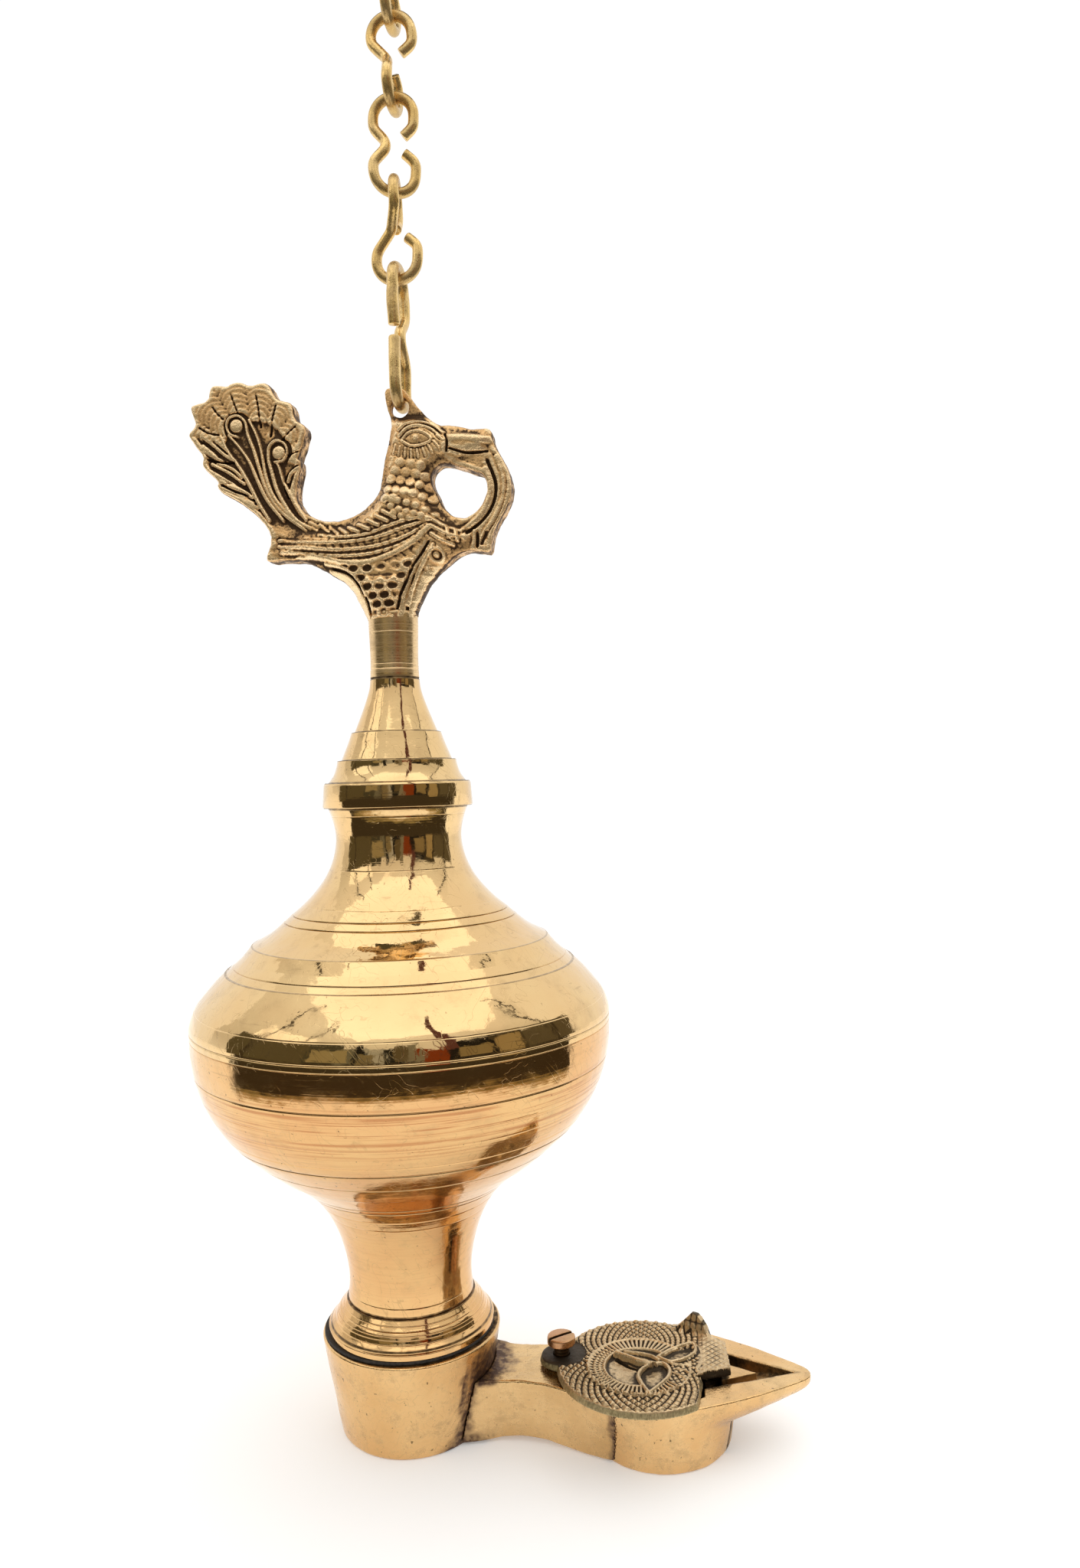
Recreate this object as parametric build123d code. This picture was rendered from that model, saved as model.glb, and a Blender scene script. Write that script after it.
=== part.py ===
"""Hanging self-feeding oil lamp in brass: wire chain, peacock finial, turned oil
reservoir that screws into a base cup, and a wick pan with a swivelling lid.

Built in the lamp's own frame first (lamp axis at x = y = 0, base underside at
z = 0, +X from the cup to the wick pan), then moved so that the origin is the
point of the hanging hook that the support carries.  Millimetres, +Z up.
"""
from build123d import *
import math
import os

os.makedirs("parts", exist_ok=True)

# ------------------------------------------------------------ driving sizes
WALL = 2.8            # wall of the cast oil vessel
Z_COLLAR = 24.8       # underside of the collar flange
Z_NECK = 32.2         # joint between collar and neck
Z_EQUATOR = 101.0     # braze joint between the two halves of the vessel
Z_FLANGE = 154.6      # underside of the cap's flange
Z_STEM = 186.8        # joint between cap and finial
CUP_R0, CUP_R1, CUP_H = 18.2, 22.3, 24.0
BORE_R = 13.95        # tapped bore of the cup
SPIGOT_R = 13.90      # threaded spigot of the collar
SPIGOT_L = 8.0
WASHER_T = 0.8
FEED_R = 5.0          # feed hole through the spigot
WELL_R, WELL_Z = 12.6, 3.6
CHANNEL_R, CHANNEL_Z = 2.1, 6.2
PAN_X = 62.0          # wick pan centre
PAN_R0, PAN_R1, PAN_H = 17.1, 19.6, 16.0
PAN_IN = 16.3
DECK_X = 72.9
BRIDGE_TOP, BRIDGE_W = 15.1, 17.0
SCREW_X, SCREW_R, SCREW_HEAD_R = 38.0, 2.0, 3.5
LID_Z0, LID_T = 16.05, 2.2
LID_X, LID_Y, LID_R = 58.0, -2.4, 20.8
TIP_X = 98.3
LUG_X = 3.5           # load line: lug, chain and hook
LUG_Z = 255.5         # centre of the wire that carries the lug
LUG_T = 3.0
BIRD_T = 5.6          # thin parts of the bird casting
WIRE = 1.35           # radius of the chain wire
HOOK_WIRE = 1.5       # radius of the wire of the S hook and of the hanging hook
GAP = 0.05            # clearance between wires that hang in each other
EYE_R = 5.3           # centre-line radius of a chain eye
Z_LINK3 = (287.25, 312.05)
Z_LINK2 = (309.30, 333.45)
Z_LINK1 = (330.70, 354.00)
Z_LINKT = (351.25, 375.55)
Z_HOOK_EYE = Z_LINKT[1] - WIRE - HOOK_WIRE - GAP
Z_HOOK_TOP = Z_HOOK_EYE + 40.9
Z_MOUNT = Z_HOOK_TOP - HOOK_WIRE

MOVE = Pos(-LUG_X, 0, -Z_MOUNT)
made = {}


def emit(name, shape):
    """Move a finished piece into the object's frame and write it."""
    solids = shape.solids()
    shape = solids[0] if len(solids) == 1 else Compound(solids)
    shape = MOVE * shape
    export_step(shape, f"parts/{name}.step")
    made[name] = shape


def turned(points):
    """Solid of revolution about Z from (r, z) points joined by straight lines."""
    pts = [(r, 0, z) for r, z in points]
    face = make_face(Polyline(*pts, close=True))
    return revolve(face, Axis.Z, 360)


def curve(points):
    return Spline(*[(r, 0, z) for r, z in points])


def line(a, b):
    return Line((a[0], 0, a[1]), (b[0], 0, b[1]))


def turned_edges(edges):
    face = make_face(Wire(edges))
    return revolve(face, Axis.Z, 360)


def groove(r, z, w=0.5, d=0.35):
    """V groove cutter: a thin ring with a triangular section, its point inwards."""
    return turned([(r - d, z), (r + 1.0, z + w * (1 + 1.0 / d) / 2), (r + 1.0, z - w * (1 + 1.0 / d) / 2)])


def plan(points, z0, z1):
    face = make_face(Polyline(*[(x, y, z0) for x, y in points], close=True))
    return extrude(face, z1 - z0, dir=(0, 0, 1))


def side(points, half, taper=0.0):
    """Slab in the bird's plane (XZ), half thickness on both sides."""
    face = make_face(Polyline(*[(x, 0, z) for x, z in points], close=True))
    a = extrude(face, half, dir=(0, 1, 0), taper=taper)
    b = extrude(face, half, dir=(0, -1, 0), taper=taper)
    return a + b


def wire_sweep(points, radii, r):
    path = FilletPolyline(*points, radius=radii)
    start = path @ 0
    tangent = path % 0
    section = Plane(origin=start, z_dir=tangent) * Circle(r)
    return sweep(section, path=path), path.length


# ------------------------------------------------------------ turned vessel
def bowl_outer():
    """Outer curve of the bowl from the neck joint to the equator."""
    a = [(15.75, Z_NECK), (15.4, 37.0), (15.7, 41.0), (16.5, 45.0), (17.7, 49.0), (19.4, 53.0),
         (21.4, 56.5), (24.4, 60.4), (29.0, 64.4), (32.5, 67.2)]
    b = [(33.1, 67.2), (36.5, 70.0), (40.2, 73.3), (43.8, 77.0), (47.2, 82.0), (49.6, 87.0),
         (51.1, 92.0), (51.8, 96.5), (52.0, Z_EQUATOR)]
    return a, b


def bowl():
    a, b = bowl_outer()
    k = WALL - 2.4
    inner = [(49.6 - k, Z_EQUATOR), (49.2 - k, 95.0), (47.6 - k, 89.0), (44.2 - k, 82.3), (38.6 - k, 75.4),
             (30.6 - k, 68.9), (23.0 - k, 62.8), (17.0 - k, 56.8), (14.0, 50.6), (12.6, 44.0), (12.4, 38.0)]
    edges = [curve(a), line(a[-1], b[0]), curve(b), line(b[-1], inner[0]), curve(inner),
             line(inner[-1], (12.4, Z_NECK)), line((12.4, Z_NECK), a[0])]
    s = turned_edges(edges)
    for r, z in ((25.0, 61.1), (26.3, 62.3)):
        s -= groove(r, z, 0.5, 0.4)
    s -= groove(51.1, 92.4, 0.35, 0.25)
    s -= groove(43.3, 76.5, 0.5, 0.3)
    s -= groove(38.5, 71.8, 0.45, 0.3)
    return s


def shoulder():
    a = [(52.0, Z_EQUATOR), (51.8, 103.4), (50.9, 105.6), (49.0, 108.8), (46.4, 112.2), (43.3, 115.5)]
    b = [(42.9, 115.5), (40.0, 118.6), (36.9, 121.5)]
    c = [(36.6, 121.5), (32.4, 124.0), (27.6, 128.0), (23.0, 132.0), (18.9, 137.0), (16.6, 142.0),
         (15.75, 147.0), (16.3, 151.0), (17.5, Z_FLANGE)]
    k = WALL - 2.4
    inner = [(14.6, Z_FLANGE), (13.2, 150.0), (13.0, 146.0), (14.2, 141.0), (17.2 - k, 135.4), (22.6 - k, 129.2),
             (29.6 - k, 123.4), (36.6 - k, 117.7), (43.0 - k, 111.3), (47.6 - k, 106.2), (49.4 - k, 103.2),
             (49.6 - k, Z_EQUATOR)]
    edges = [curve(a), line(a[-1], b[0]), curve(b), line(b[-1], c[0]), curve(c), line(c[-1], inner[0]),
             curve(inner), line(inner[-1], a[0])]
    s = turned_edges(edges)
    for r, z in ((28.9, 126.9), (26.9, 128.6)):
        s -= groove(r, z, 0.5, 0.4)
    s -= groove(41.6, 117.0, 0.4, 0.3)
    s -= groove(51.9, 102.5, 0.45, 0.35)
    s -= groove(51.5, 104.3, 0.35, 0.3)
    return s


def cone():
    """Stepped cap: flange, cove, two steps and the flare up to the finial."""
    lo = [(17.2, 160.9), (15.9, 162.9), (15.2, 164.9), (14.9, 166.4)]
    mid = [(13.9, 166.4), (13.2, 168.2), (12.0, 171.2), (11.25, 173.4)]
    hi = [(10.5, 173.4), (9.2, 176.6), (7.6, 180.8), (6.5, 184.4), (6.2, Z_STEM)]
    edges = [line((14.6, Z_FLANGE), (18.6, Z_FLANGE)), line((18.6, Z_FLANGE), (18.85, Z_FLANGE + 0.3)),
             line((18.85, Z_FLANGE + 0.3), (18.45, 160.5)), line((18.45, 160.5), (18.1, 160.9)),
             line((18.1, 160.9), lo[0]), curve(lo), line(lo[-1], mid[0]), curve(mid), line(mid[-1], hi[0]),
             curve(hi), line(hi[-1], (3.0, Z_STEM)), line((3.0, Z_STEM), (3.0, 172.0)),
             line((3.0, 172.0), (8.4, 168.0)), line((8.4, 168.0), (11.0, 163.5)),
             line((11.0, 163.5), (11.0, 150.6)), line((11.0, 150.6), (12.9, 150.6)),
             line((12.9, 150.6), (12.9, Z_FLANGE)), line((12.9, Z_FLANGE), (14.6, Z_FLANGE))]
    return turned_edges(edges)


def collar():
    """Beaded collar with a register that fits the neck and the threaded spigot."""
    outer = [(20.8, Z_COLLAR), (20.8, 25.9), (20.3, 26.4), (18.8, 26.9), (18.3, 27.6), (18.2, 28.5),
             (17.7, 29.7), (16.9, 30.9), (16.2, 31.6), (16.15, Z_NECK)]
    pts = outer + [(12.4, Z_NECK), (12.4, 36.0), (10.4, 36.0), (8.0, 30.0), (FEED_R, 26.0),
                   (FEED_R, Z_COLLAR - WASHER_T - SPIGOT_L), (SPIGOT_R - 0.8, Z_COLLAR - WASHER_T - SPIGOT_L),
                   (SPIGOT_R, Z_COLLAR - WASHER_T - SPIGOT_L + 0.8)]
    z = Z_COLLAR - WASHER_T - SPIGOT_L + 1.6
    while z < Z_COLLAR - 2.4:                       # thread shown as plain annular grooves
        pts += [(SPIGOT_R, z), (SPIGOT_R - 0.45, z + 0.45), (SPIGOT_R, z + 0.9)]
        z += 2.0
    pts += [(SPIGOT_R, Z_COLLAR)]
    return turned(pts)


def washer():
    z1 = Z_COLLAR
    z0 = Z_COLLAR - WASHER_T
    return turned([(14.0, z0), (21.5, z0), (21.5, z1), (14.0, z1)])


# ------------------------------------------------------------ base
def cup_body(grow=0.0):
    return turned([(0, 0), (CUP_R0 - 0.5 + grow, 0), (CUP_R0 + grow, 0.5),
                   (CUP_R1 + grow, CUP_H - 0.5), (CUP_R1 - 0.5 + grow, CUP_H), (0, CUP_H)])


def channel():
    return Pos(40, 0, CHANNEL_Z) * Rot(0, 90, 0) * Cylinder(CHANNEL_R, 64)


def cup():
    s = cup_body() - turned([(0, WELL_Z), (WELL_R, WELL_Z), (WELL_R, 14.4), (BORE_R, 15.2), (BORE_R, CUP_H + 1),
                             (0, CUP_H + 1)])
    return s - Pos(20, 0, CHANNEL_Z) * Rot(0, 90, 0) * Cylinder(CHANNEL_R, 26)


def pan_body():
    return Pos(PAN_X, 0, 0) * turned([(0, 0), (PAN_R0 - 0.7, 0), (PAN_R0, 0.7), (PAN_R1, PAN_H - 0.4),
                                      (PAN_R1 - 0.4, PAN_H), (0, PAN_H)])


NOSE = [(66.0, 18.3, 13.0), (73.0, 16.7, 11.4), (80.0, 13.5, 9.2), (86.0, 10.2, 7.2), (91.5, 6.6, 5.2),
        (95.5, 3.7, 3.7), (97.9, 1.9, 2.6)]


def nose():
    """Ogive spout: flat top, rounded keel that rises towards the tip."""
    faces = []
    for x, w, d in NOSE:
        top = PAN_H
        e = [Line((x, -w, top), (x, w, top)),
             Spline((x, w, top), (x, w * 0.90, top - d * 0.42), (x, w * 0.62, top - d * 0.80), (x, 0, top - d),
                    (x, -w * 0.62, top - d * 0.80), (x, -w * 0.90, top - d * 0.42), (x, -w, top))]
        faces.append(make_face(Wire(e)))
    return loft(faces)


def pan():
    s = pan_body() + nose()
    s += nose_tip()
    well = Pos(PAN_X, 0, 0) * turned([(0, 2.0), (PAN_IN - 2.6, 2.0), (PAN_IN - 1.2, 3.4), (PAN_IN, PAN_H), (PAN_IN, PAN_H + 1),
                                      (0, PAN_H + 1)])
    s -= well - Pos(DECK_X + 10, 0, 12) * Box(20, 40, 20)     # the spout's deck closes the well in front
    s -= Pos(48, 0, CHANNEL_Z) * Rot(0, 90, 0) * Cylinder(CHANNEL_R, 8)
    # wick trough: V in plan, floor rising to the tip, a low triangular wick rest in the middle
    tri = plan([(DECK_X - 0.7, -9.1), (94.6, 0.0), (DECK_X - 0.7, 9.1)], 8.0, PAN_H + 1)
    ramp = make_face(Polyline((72, 0, 10.6), (95.2, 0, 15.4), (95.2, 0, 20), (72, 0, 20), close=True))
    ramp = extrude(ramp, 12, dir=(0, 1, 0)) + extrude(ramp, 12, dir=(0, -1, 0))
    rest = plan([(77.2, -3.9), (85.4, 0.0), (77.2, 3.9)], 6.0, 15.3)
    s -= (tri & ramp) - rest
    return s


def nose_tip():
    x, w, d = NOSE[-1]
    return Pos(x - 0.2, 0, PAN_H - d / 2) * Box(1.2, w * 1.5, d * 0.8)


def bridge_plan(z, lean):
    """Outline of the bar at height z; lean draws its flared end in, to follow the pan's side."""
    w = BRIDGE_W / 2
    up = [(14.0, w + 3.2), (19.0, w + 1.8), (23.5, w + 0.4), (29.0, w), (35.0, w + 0.9), (40.5, w + 3.0 - lean * 0.23),
          (45.5, w + 5.7 - lean * 0.57), (49.0, w + 7.4 - lean * 0.8), (52.0, w + 8.6 - lean), (54.0, w + 9.3 - lean)]
    return make_face(Wire([Spline(*[(x, y, z) for x, y in up]), Line((54, up[-1][1], z), (54, -up[-1][1], z)),
                           Spline(*[(x, -y, z) for x, y in reversed(up)]), Line((14, -up[0][1], z), (14, up[0][1], z))]))


def bridge():
    """Waisted bar between cup and pan with the oil channel and the screw hole."""
    s = loft([bridge_plan(0.5, 2.9), bridge_plan(BRIDGE_TOP, 0.0)], ruled=True)
    s -= Pos(31, 0, -60.0) * Rot(90, 0, 0) * Cylinder(61.4, 60)
    s -= cup_body()
    s -= pan_body()
    s -= nose()
    s -= channel()
    s -= Pos(SCREW_X, 0, 12.1) * Cylinder(SCREW_R, 6.2)
    body = max(s.solids(), key=lambda b: b.volume)
    return body


def screw():
    z_tip, z_head = 9.3, 20.3
    s = turned([(0, z_tip), (SCREW_R - 0.5, z_tip), (SCREW_R, z_tip + 0.5), (SCREW_R, z_head),
                (SCREW_HEAD_R, z_head), (SCREW_HEAD_R, z_head + 1.7), (SCREW_HEAD_R - 0.3, z_head + 2.0),
                (0, z_head + 2.0)])
    s = Pos(SCREW_X, 0, 0) * s
    return s - Pos(SCREW_X, 0, z_head + 2.0) * Rot(0, 0, 38) * Box(9, 0.9, 1.8)


LID_OUT = [(73.4, -15.0), (71.4, -7.0)]
TONGUE = [(66.0, -7.0), (71.4, -7.0), (79.4, -4.0), (78.4, 7.6), (75.0, 10.4), (70.8, 14.4), (66.0, 14.4)]


def lid():
    """Embossed lid: round plate, pivot ear with a boss, wick tongue and a raised thumb tab."""
    z0, z1 = LID_Z0, LID_Z0 + LID_T
    disc = Pos(LID_X, LID_Y, 0) * turned([(0, z0), (LID_R, z0), (LID_R - 0.9, z1), (0, z1)])
    keep = plan([(30, -30), (72.4, -30), LID_OUT[0], LID_OUT[1], (71.4, 14.0), (70.8, 30), (30, 30)], z0 - 1, z1 + 1)
    s = disc & keep
    s += plan(TONGUE, z0 + 0.5, z1 + 0.5)
    s += Pos(SCREW_X, 0, (z0 + z1) / 2) * Cylinder(5.5, LID_T)
    s += plan([(SCREW_X, -5.5), (44.5, -10.0), (44.5, 8.0), (SCREW_X, 5.5)], z0, z1)
    s += Pos(SCREW_X, 0, (BRIDGE_TOP + GAP + z0 + 0.5) / 2) * Cylinder(4.2, z0 + 0.5 - BRIDGE_TOP - GAP)
    s += Pos(LID_X, LID_Y, 0) * turned([(8.4, z1 - 0.2), (12.4, z1 - 0.2), (11.8, z1 + 0.5), (9.0, z1 + 0.5)])
    # the back right corner is curled up into a pointed thumb tab
    base, along = (66.2, 15.9), (0.9027, -0.4303)
    tab = [(0.0, z1 - 1.0), (9.5, z1 - 1.0), (8.3, z1 + 1.2), (7.0, z1 + 3.2), (5.4, z1 + 4.3), (4.0, z1 + 3.2), (2.0, z1 + 1.2)]
    tab = make_face(Polyline(*[(base[0] + t * along[0], base[1] + t * along[1], z) for t, z in tab], close=True))
    s += extrude(tab, 1.8, dir=(along[1], -along[0], 0))
    s -= Pos(SCREW_X, 0, 17) * Cylinder(SCREW_R + 0.06, 8)
    return s


# ------------------------------------------------------------ bird finial
OUTLINE = [
    (-32.4, 218.5), (-31.2, 222.0), (-30.9, 224.9), (-33.7, 229.0), (-36.5, 231.6), (-40.6, 234.4), (-43.7, 236.2),
    (-45.1, 237.9), (-44.5, 239.2), (-47.7, 241.8), (-48.9, 243.5), (-48.5, 245.8), (-51.7, 250.0), (-52.7, 251.7),
    (-50.1, 253.9), (-51.1, 256.3), (-51.7, 258.8), (-50.4, 259.3), (-46.8, 260.0), (-46.1, 263.1), (-45.2, 264.0),
    (-41.4, 263.3), (-40.6, 264.1), (-38.1, 264.5), (-35.4, 262.9), (-31.7, 263.9), (-30.1, 262.6), (-29.1, 260.2),
    (-28.1, 259.0), (-24.8, 258.1), (-24.3, 256.9), (-23.7, 253.5), (-21.3, 252.0), (-20.8, 250.6), (-21.6, 247.9),
    (-23.2, 243.7), (-22.6, 243.1), (-22.6, 241.5), (-23.4, 238.2), (-23.9, 234.3), (-23.5, 232.7), (-22.2, 230.3),
    (-20.2, 228.6), (-16.1, 227.2), (-12.1, 227.1), (-8.0, 228.4), (-4.9, 230.4), (-2.8, 232.6), (-1.8, 234.8),
    (-1.1, 238.7), (-0.4, 242.5), (0.5, 245.3), (1.0, 248.2), (1.6, 250.7), (0.6, 253.1), (-0.2, 257.0), (-0.3, 259.5),
    (0.5, 260.2), (1.9, 260.1), (3.6, 260.1), (5.0, 259.2), (6.2, 257.3), (8.3, 254.4), (10.6, 251.7), (13.5, 249.4),
    (16.5, 249.2), (20.4, 248.3), (23.3, 247.7), (26.2, 247.7), (27.1, 246.3), (27.3, 244.4), (28.0, 242.4),
    (29.9, 239.5), (31.3, 235.5), (31.8, 232.7), (31.3, 229.8), (29.5, 226.7), (27.5, 223.4), (26.4, 220.6),
    (25.9, 217.0), (23.4, 217.5), (20.5, 217.9), (18.5, 217.4), (17.5, 216.9), (15.5, 215.5), (12.5, 212.8),
    (9.9, 210.0), (8.6, 207.2), (6.9, 204.4), (6.3, 201.5), (-6.3, 201.5), (-7.4, 204.0), (-9.6, 208.5),
    (-11.5, 211.1), (-14.5, 213.2), (-18.5, 215.8), (-22.5, 217.6), (-27.6, 217.9), (-31.2, 217.7)]
BEAK_HOLE = [
    (11.2, 236.9), (12.2, 238.7), (14.3, 240.1), (18.1, 238.9), (22.0, 237.5), (24.3, 236.6), (25.3, 235.0),
    (25.4, 232.1), (24.3, 229.3), (22.1, 227.0), (19.7, 225.8), (16.8, 226.5), (14.5, 228.4), (13.0, 231.6),
    (11.7, 234.0)]
BODY_PAD = [
    (-27.0, 220.0), (-22.0, 222.6), (-14.0, 223.6), (-8.0, 226.2), (-3.4, 229.6), (-0.6, 234.0), (8.4, 234.0),
    (11.0, 229.4), (15.0, 224.6), (19.0, 221.0), (15.4, 217.2), (11.6, 213.6), (8.8, 209.6), (6.2, 203.0),
    (-6.2, 203.0), (-8.8, 209.4), (-13.4, 214.4), (-19.0, 217.6)]
HEAD_PAD = [
    (-1.2, 230.0), (-0.2, 240.0), (1.6, 248.0), (3.2, 251.0), (6.0, 252.2), (9.4, 250.6), (13.0, 247.8), (24.6, 246.4),
    (26.0, 245.0), (24.6, 242.6), (17.6, 241.2), (13.4, 241.6), (10.2, 238.6), (9.8, 234.0), (9.0, 230.0)]


def bird():
    s = side(OUTLINE, BIRD_T / 2)
    s -= side(BEAK_HOLE, 5)
    for sgn in (1, -1):                       # the lug and crest are thinner, so that the S hook clears them
        s -= Pos(4, sgn * (LUG_T / 2 + 5), 251.6 + 10) * Box(40, 10, 20) & Pos(4, 0, 256) * Box(16, 40, 40)
    s += side(BODY_PAD, 6.2, taper=20)
    s += side(HEAD_PAD, 4.2, taper=12)
    skirt = turned([(0, 201.0), (6.3, 201.0), (6.6, 204.0), (7.6, 208.0), (7.8, 212.0), (6.0, 217.0), (0, 219.0)])
    s += skirt
    stem = turned([(0, Z_STEM), (5.9, Z_STEM), (6.2, Z_STEM + 0.3), (6.0, 191.0), (6.1, 196.0), (6.3, 202.0),
                   (0, 202.0)])
    tang = Pos(0, 0, Z_STEM - 6.6) * Cylinder(3.0, 13.4)
    s += stem
    s += tang
    s -= Pos(LUG_X, 0, LUG_Z - 0.6) * Rot(90, 0, 0) * Cylinder(2.5, 20)
    return s


# ------------------------------------------------------------ chain
def eight_link(z0, z1, a0, a1, r=WIRE, R=EYE_R):
    """Wire link: upper eye in the vertical plane at a1 degrees, lower eye in the
    plane at a0 degrees, both closed towards a pinched spine; the ends stay open."""
    zm = (z0 + z1) / 2

    def p(a, t, z):
        a = math.radians(a)
        return (LUG_X + t * math.cos(a), t * math.sin(a), z)

    h = (z1 - z0) / 2
    pts = [p(a1, R * 0.55, zm + 1.9), p(a1, R, zm + h * 0.32), p(a1, R, z1), p(a1, -R, z1), p(a1, -R, zm + h * 0.40),
           p((a0 + a1) / 2, -1.1, zm), p(a0, -R, zm - h * 0.40), p(a0, -R, z0), p(a0, R, z0), p(a0, R, zm - h * 0.32),
           p(a0, R * 0.55, zm - 1.9)]
    radii = [2.4, R * 0.96, R * 0.96, 3.0, 3.0, 3.0, R * 0.96, R * 0.96, 2.4]
    return wire_sweep(pts, radii, r)


def hanging_hook():
    x = LUG_X
    z0, z1 = Z_HOOK_EYE, Z_HOOK_TOP
    R, T = 4.9, 9.5
    pts = [(x, -2.6, z0 + 11.4), (x, -R, z0 + 8.4), (x, -R, z0), (x, R, z0), (x, R, z0 + 8.0), (x, 0.6, z0 + 14.2),
           (x, 0.6, z0 + 18.0), (x, T, z0 + 23.0), (x, T, z1), (x, -T, z1), (x, -T, z1 - 13.6), (x, -T + 3.4, z1 - 18.0)]
    radii = [3.0, R * 0.96, R * 0.96, 3.6, 4.0, 3.6, 6.0, T * 0.96, T * 0.96, 4.0]
    return wire_sweep(pts, radii, HOOK_WIRE)


def s_hook():
    z0, z1 = LUG_Z, Z_LINK3[0] + WIRE + HOOK_WIRE + GAP
    x, R = LUG_X, 4.95
    zm = (z0 + z1) / 2
    pts = [(x, -R + 0.6, zm + 1.9), (x, -R, zm + 6.5), (x, -R, z1), (x, R, z1), (x, R, zm + 6.0), (x, -0.9, zm),
           (x, R, zm - 6.0), (x, R, z0), (x, -R, z0), (x, -R, zm - 6.5), (x, -R + 0.6, zm - 1.9)]
    radii = [6.0, R * 0.96, R * 0.96, 4.0, 3.4, 4.0, R * 0.96, R * 0.96, 6.0]
    return wire_sweep(pts, radii, HOOK_WIRE)


# ------------------------------------------------------------ write
emit("base_cup", cup())
emit("feed_bridge", bridge())
emit("wick_pan", pan())
emit("pan_lid", lid())
emit("lid_screw", screw())
emit("seal_washer", washer())
emit("threaded_collar", collar())
emit("reservoir_lower", bowl())
emit("reservoir_upper", shoulder())
emit("cone_cap", cone())
emit("bird_finial", bird())
for name, (shape, length), r in (
        ("s_hook_link", s_hook(), HOOK_WIRE),
        ("chain_link_lower", eight_link(*Z_LINK3, 0.0, 100.0), WIRE),
        ("chain_link_middle", eight_link(*Z_LINK2, 24.0, 0.0), WIRE),
        ("chain_link_upper", eight_link(*Z_LINK1, 90.0, 0.0), WIRE),
        ("chain_link_top", eight_link(*Z_LINKT, 90.0, 0.0), WIRE),
        ("hanging_hook", hanging_hook(), HOOK_WIRE)):
    emit(name, shape)
    print(name, "wire length", round(length, 1), "volume / section*length",
          round(shape.volume / (math.pi * r * r * length), 4))

lamp = ["base_cup", "feed_bridge", "wick_pan", "pan_lid", "lid_screw", "threaded_collar", "reservoir_lower",
        "reservoir_upper", "cone_cap", "bird_finial"]
vol = sum(made[n].volume for n in lamp)
cx = sum(made[n].volume * made[n].center(CenterOf.MASS).X for n in lamp) / vol
cy = sum(made[n].volume * made[n].center(CenterOf.MASS).Y for n in lamp) / vol
print("lamp centre of mass from the load line, mm:", round(cx, 3), round(cy, 3), "volume cm3", round(vol / 1000, 1))
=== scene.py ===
import math
import bpy
import numpy as np
from mathutils import Matrix, Vector


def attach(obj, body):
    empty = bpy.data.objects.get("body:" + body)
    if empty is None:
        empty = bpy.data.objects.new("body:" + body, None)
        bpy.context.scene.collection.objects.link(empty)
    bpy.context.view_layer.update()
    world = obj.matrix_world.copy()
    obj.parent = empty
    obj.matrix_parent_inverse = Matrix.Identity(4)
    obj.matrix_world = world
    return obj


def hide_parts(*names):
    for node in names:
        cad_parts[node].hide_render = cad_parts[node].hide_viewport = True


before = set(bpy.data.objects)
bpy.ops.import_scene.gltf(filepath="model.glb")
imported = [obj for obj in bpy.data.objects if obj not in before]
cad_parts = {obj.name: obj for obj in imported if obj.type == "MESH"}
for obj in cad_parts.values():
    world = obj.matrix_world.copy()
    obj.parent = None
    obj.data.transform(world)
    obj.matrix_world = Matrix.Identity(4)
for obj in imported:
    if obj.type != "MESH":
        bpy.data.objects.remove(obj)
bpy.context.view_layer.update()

# The lamp is described in its own millimetre frame: lamp axis at x = y = 0, base underside at z = 0, +X from the
# cup to the wick pan. The CAD frame hangs from the hook, so every point is shifted by OFF and turned into metres.
OFF = np.array([-3.5, 0.0, -412.05])
MM = 0.001


def w(p):
    return (np.asarray(p, float) + OFF) * MM


# ------------------------------------------------------------------ noise
def _hash(i, j, k, seed):
    n = (i * 374761393 + j * 668265263 + k * 2147483647 + seed * 1274126177) & 0x7FFFFFFF
    n = ((n ^ (n >> 13)) * 1274126177) & 0x7FFFFFFF
    n = (n ^ (n >> 16)) & 0xFFFF
    return n.astype(np.float64) / 32767.5 - 1.0


def vnoise(x, y, z, seed=0):
    """Smooth value noise in -1..1, the same every run."""
    xi, yi, zi = np.floor(x).astype(np.int64), np.floor(y).astype(np.int64), np.floor(z).astype(np.int64)
    fx, fy, fz = x - xi, y - yi, z - zi
    fx, fy, fz = (t * t * (3 - 2 * t) for t in (fx, fy, fz))
    out = 0
    for a in (0, 1):
        for b in (0, 1):
            for c in (0, 1):
                h = _hash(xi + a, yi + b, zi + c, seed)
                out = out + h * (fx if a else 1 - fx) * (fy if b else 1 - fy) * (fz if c else 1 - fz)
    return out


def fbm(x, y, z, octaves=3, seed=0):
    out, amp, s = 0, 1.0, 1.0
    for o in range(octaves):
        out = out + amp * vnoise(x * s, y * s, z * s, seed + 17 * o)
        amp, s = amp * 0.5, s * 2.03
    return out


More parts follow.
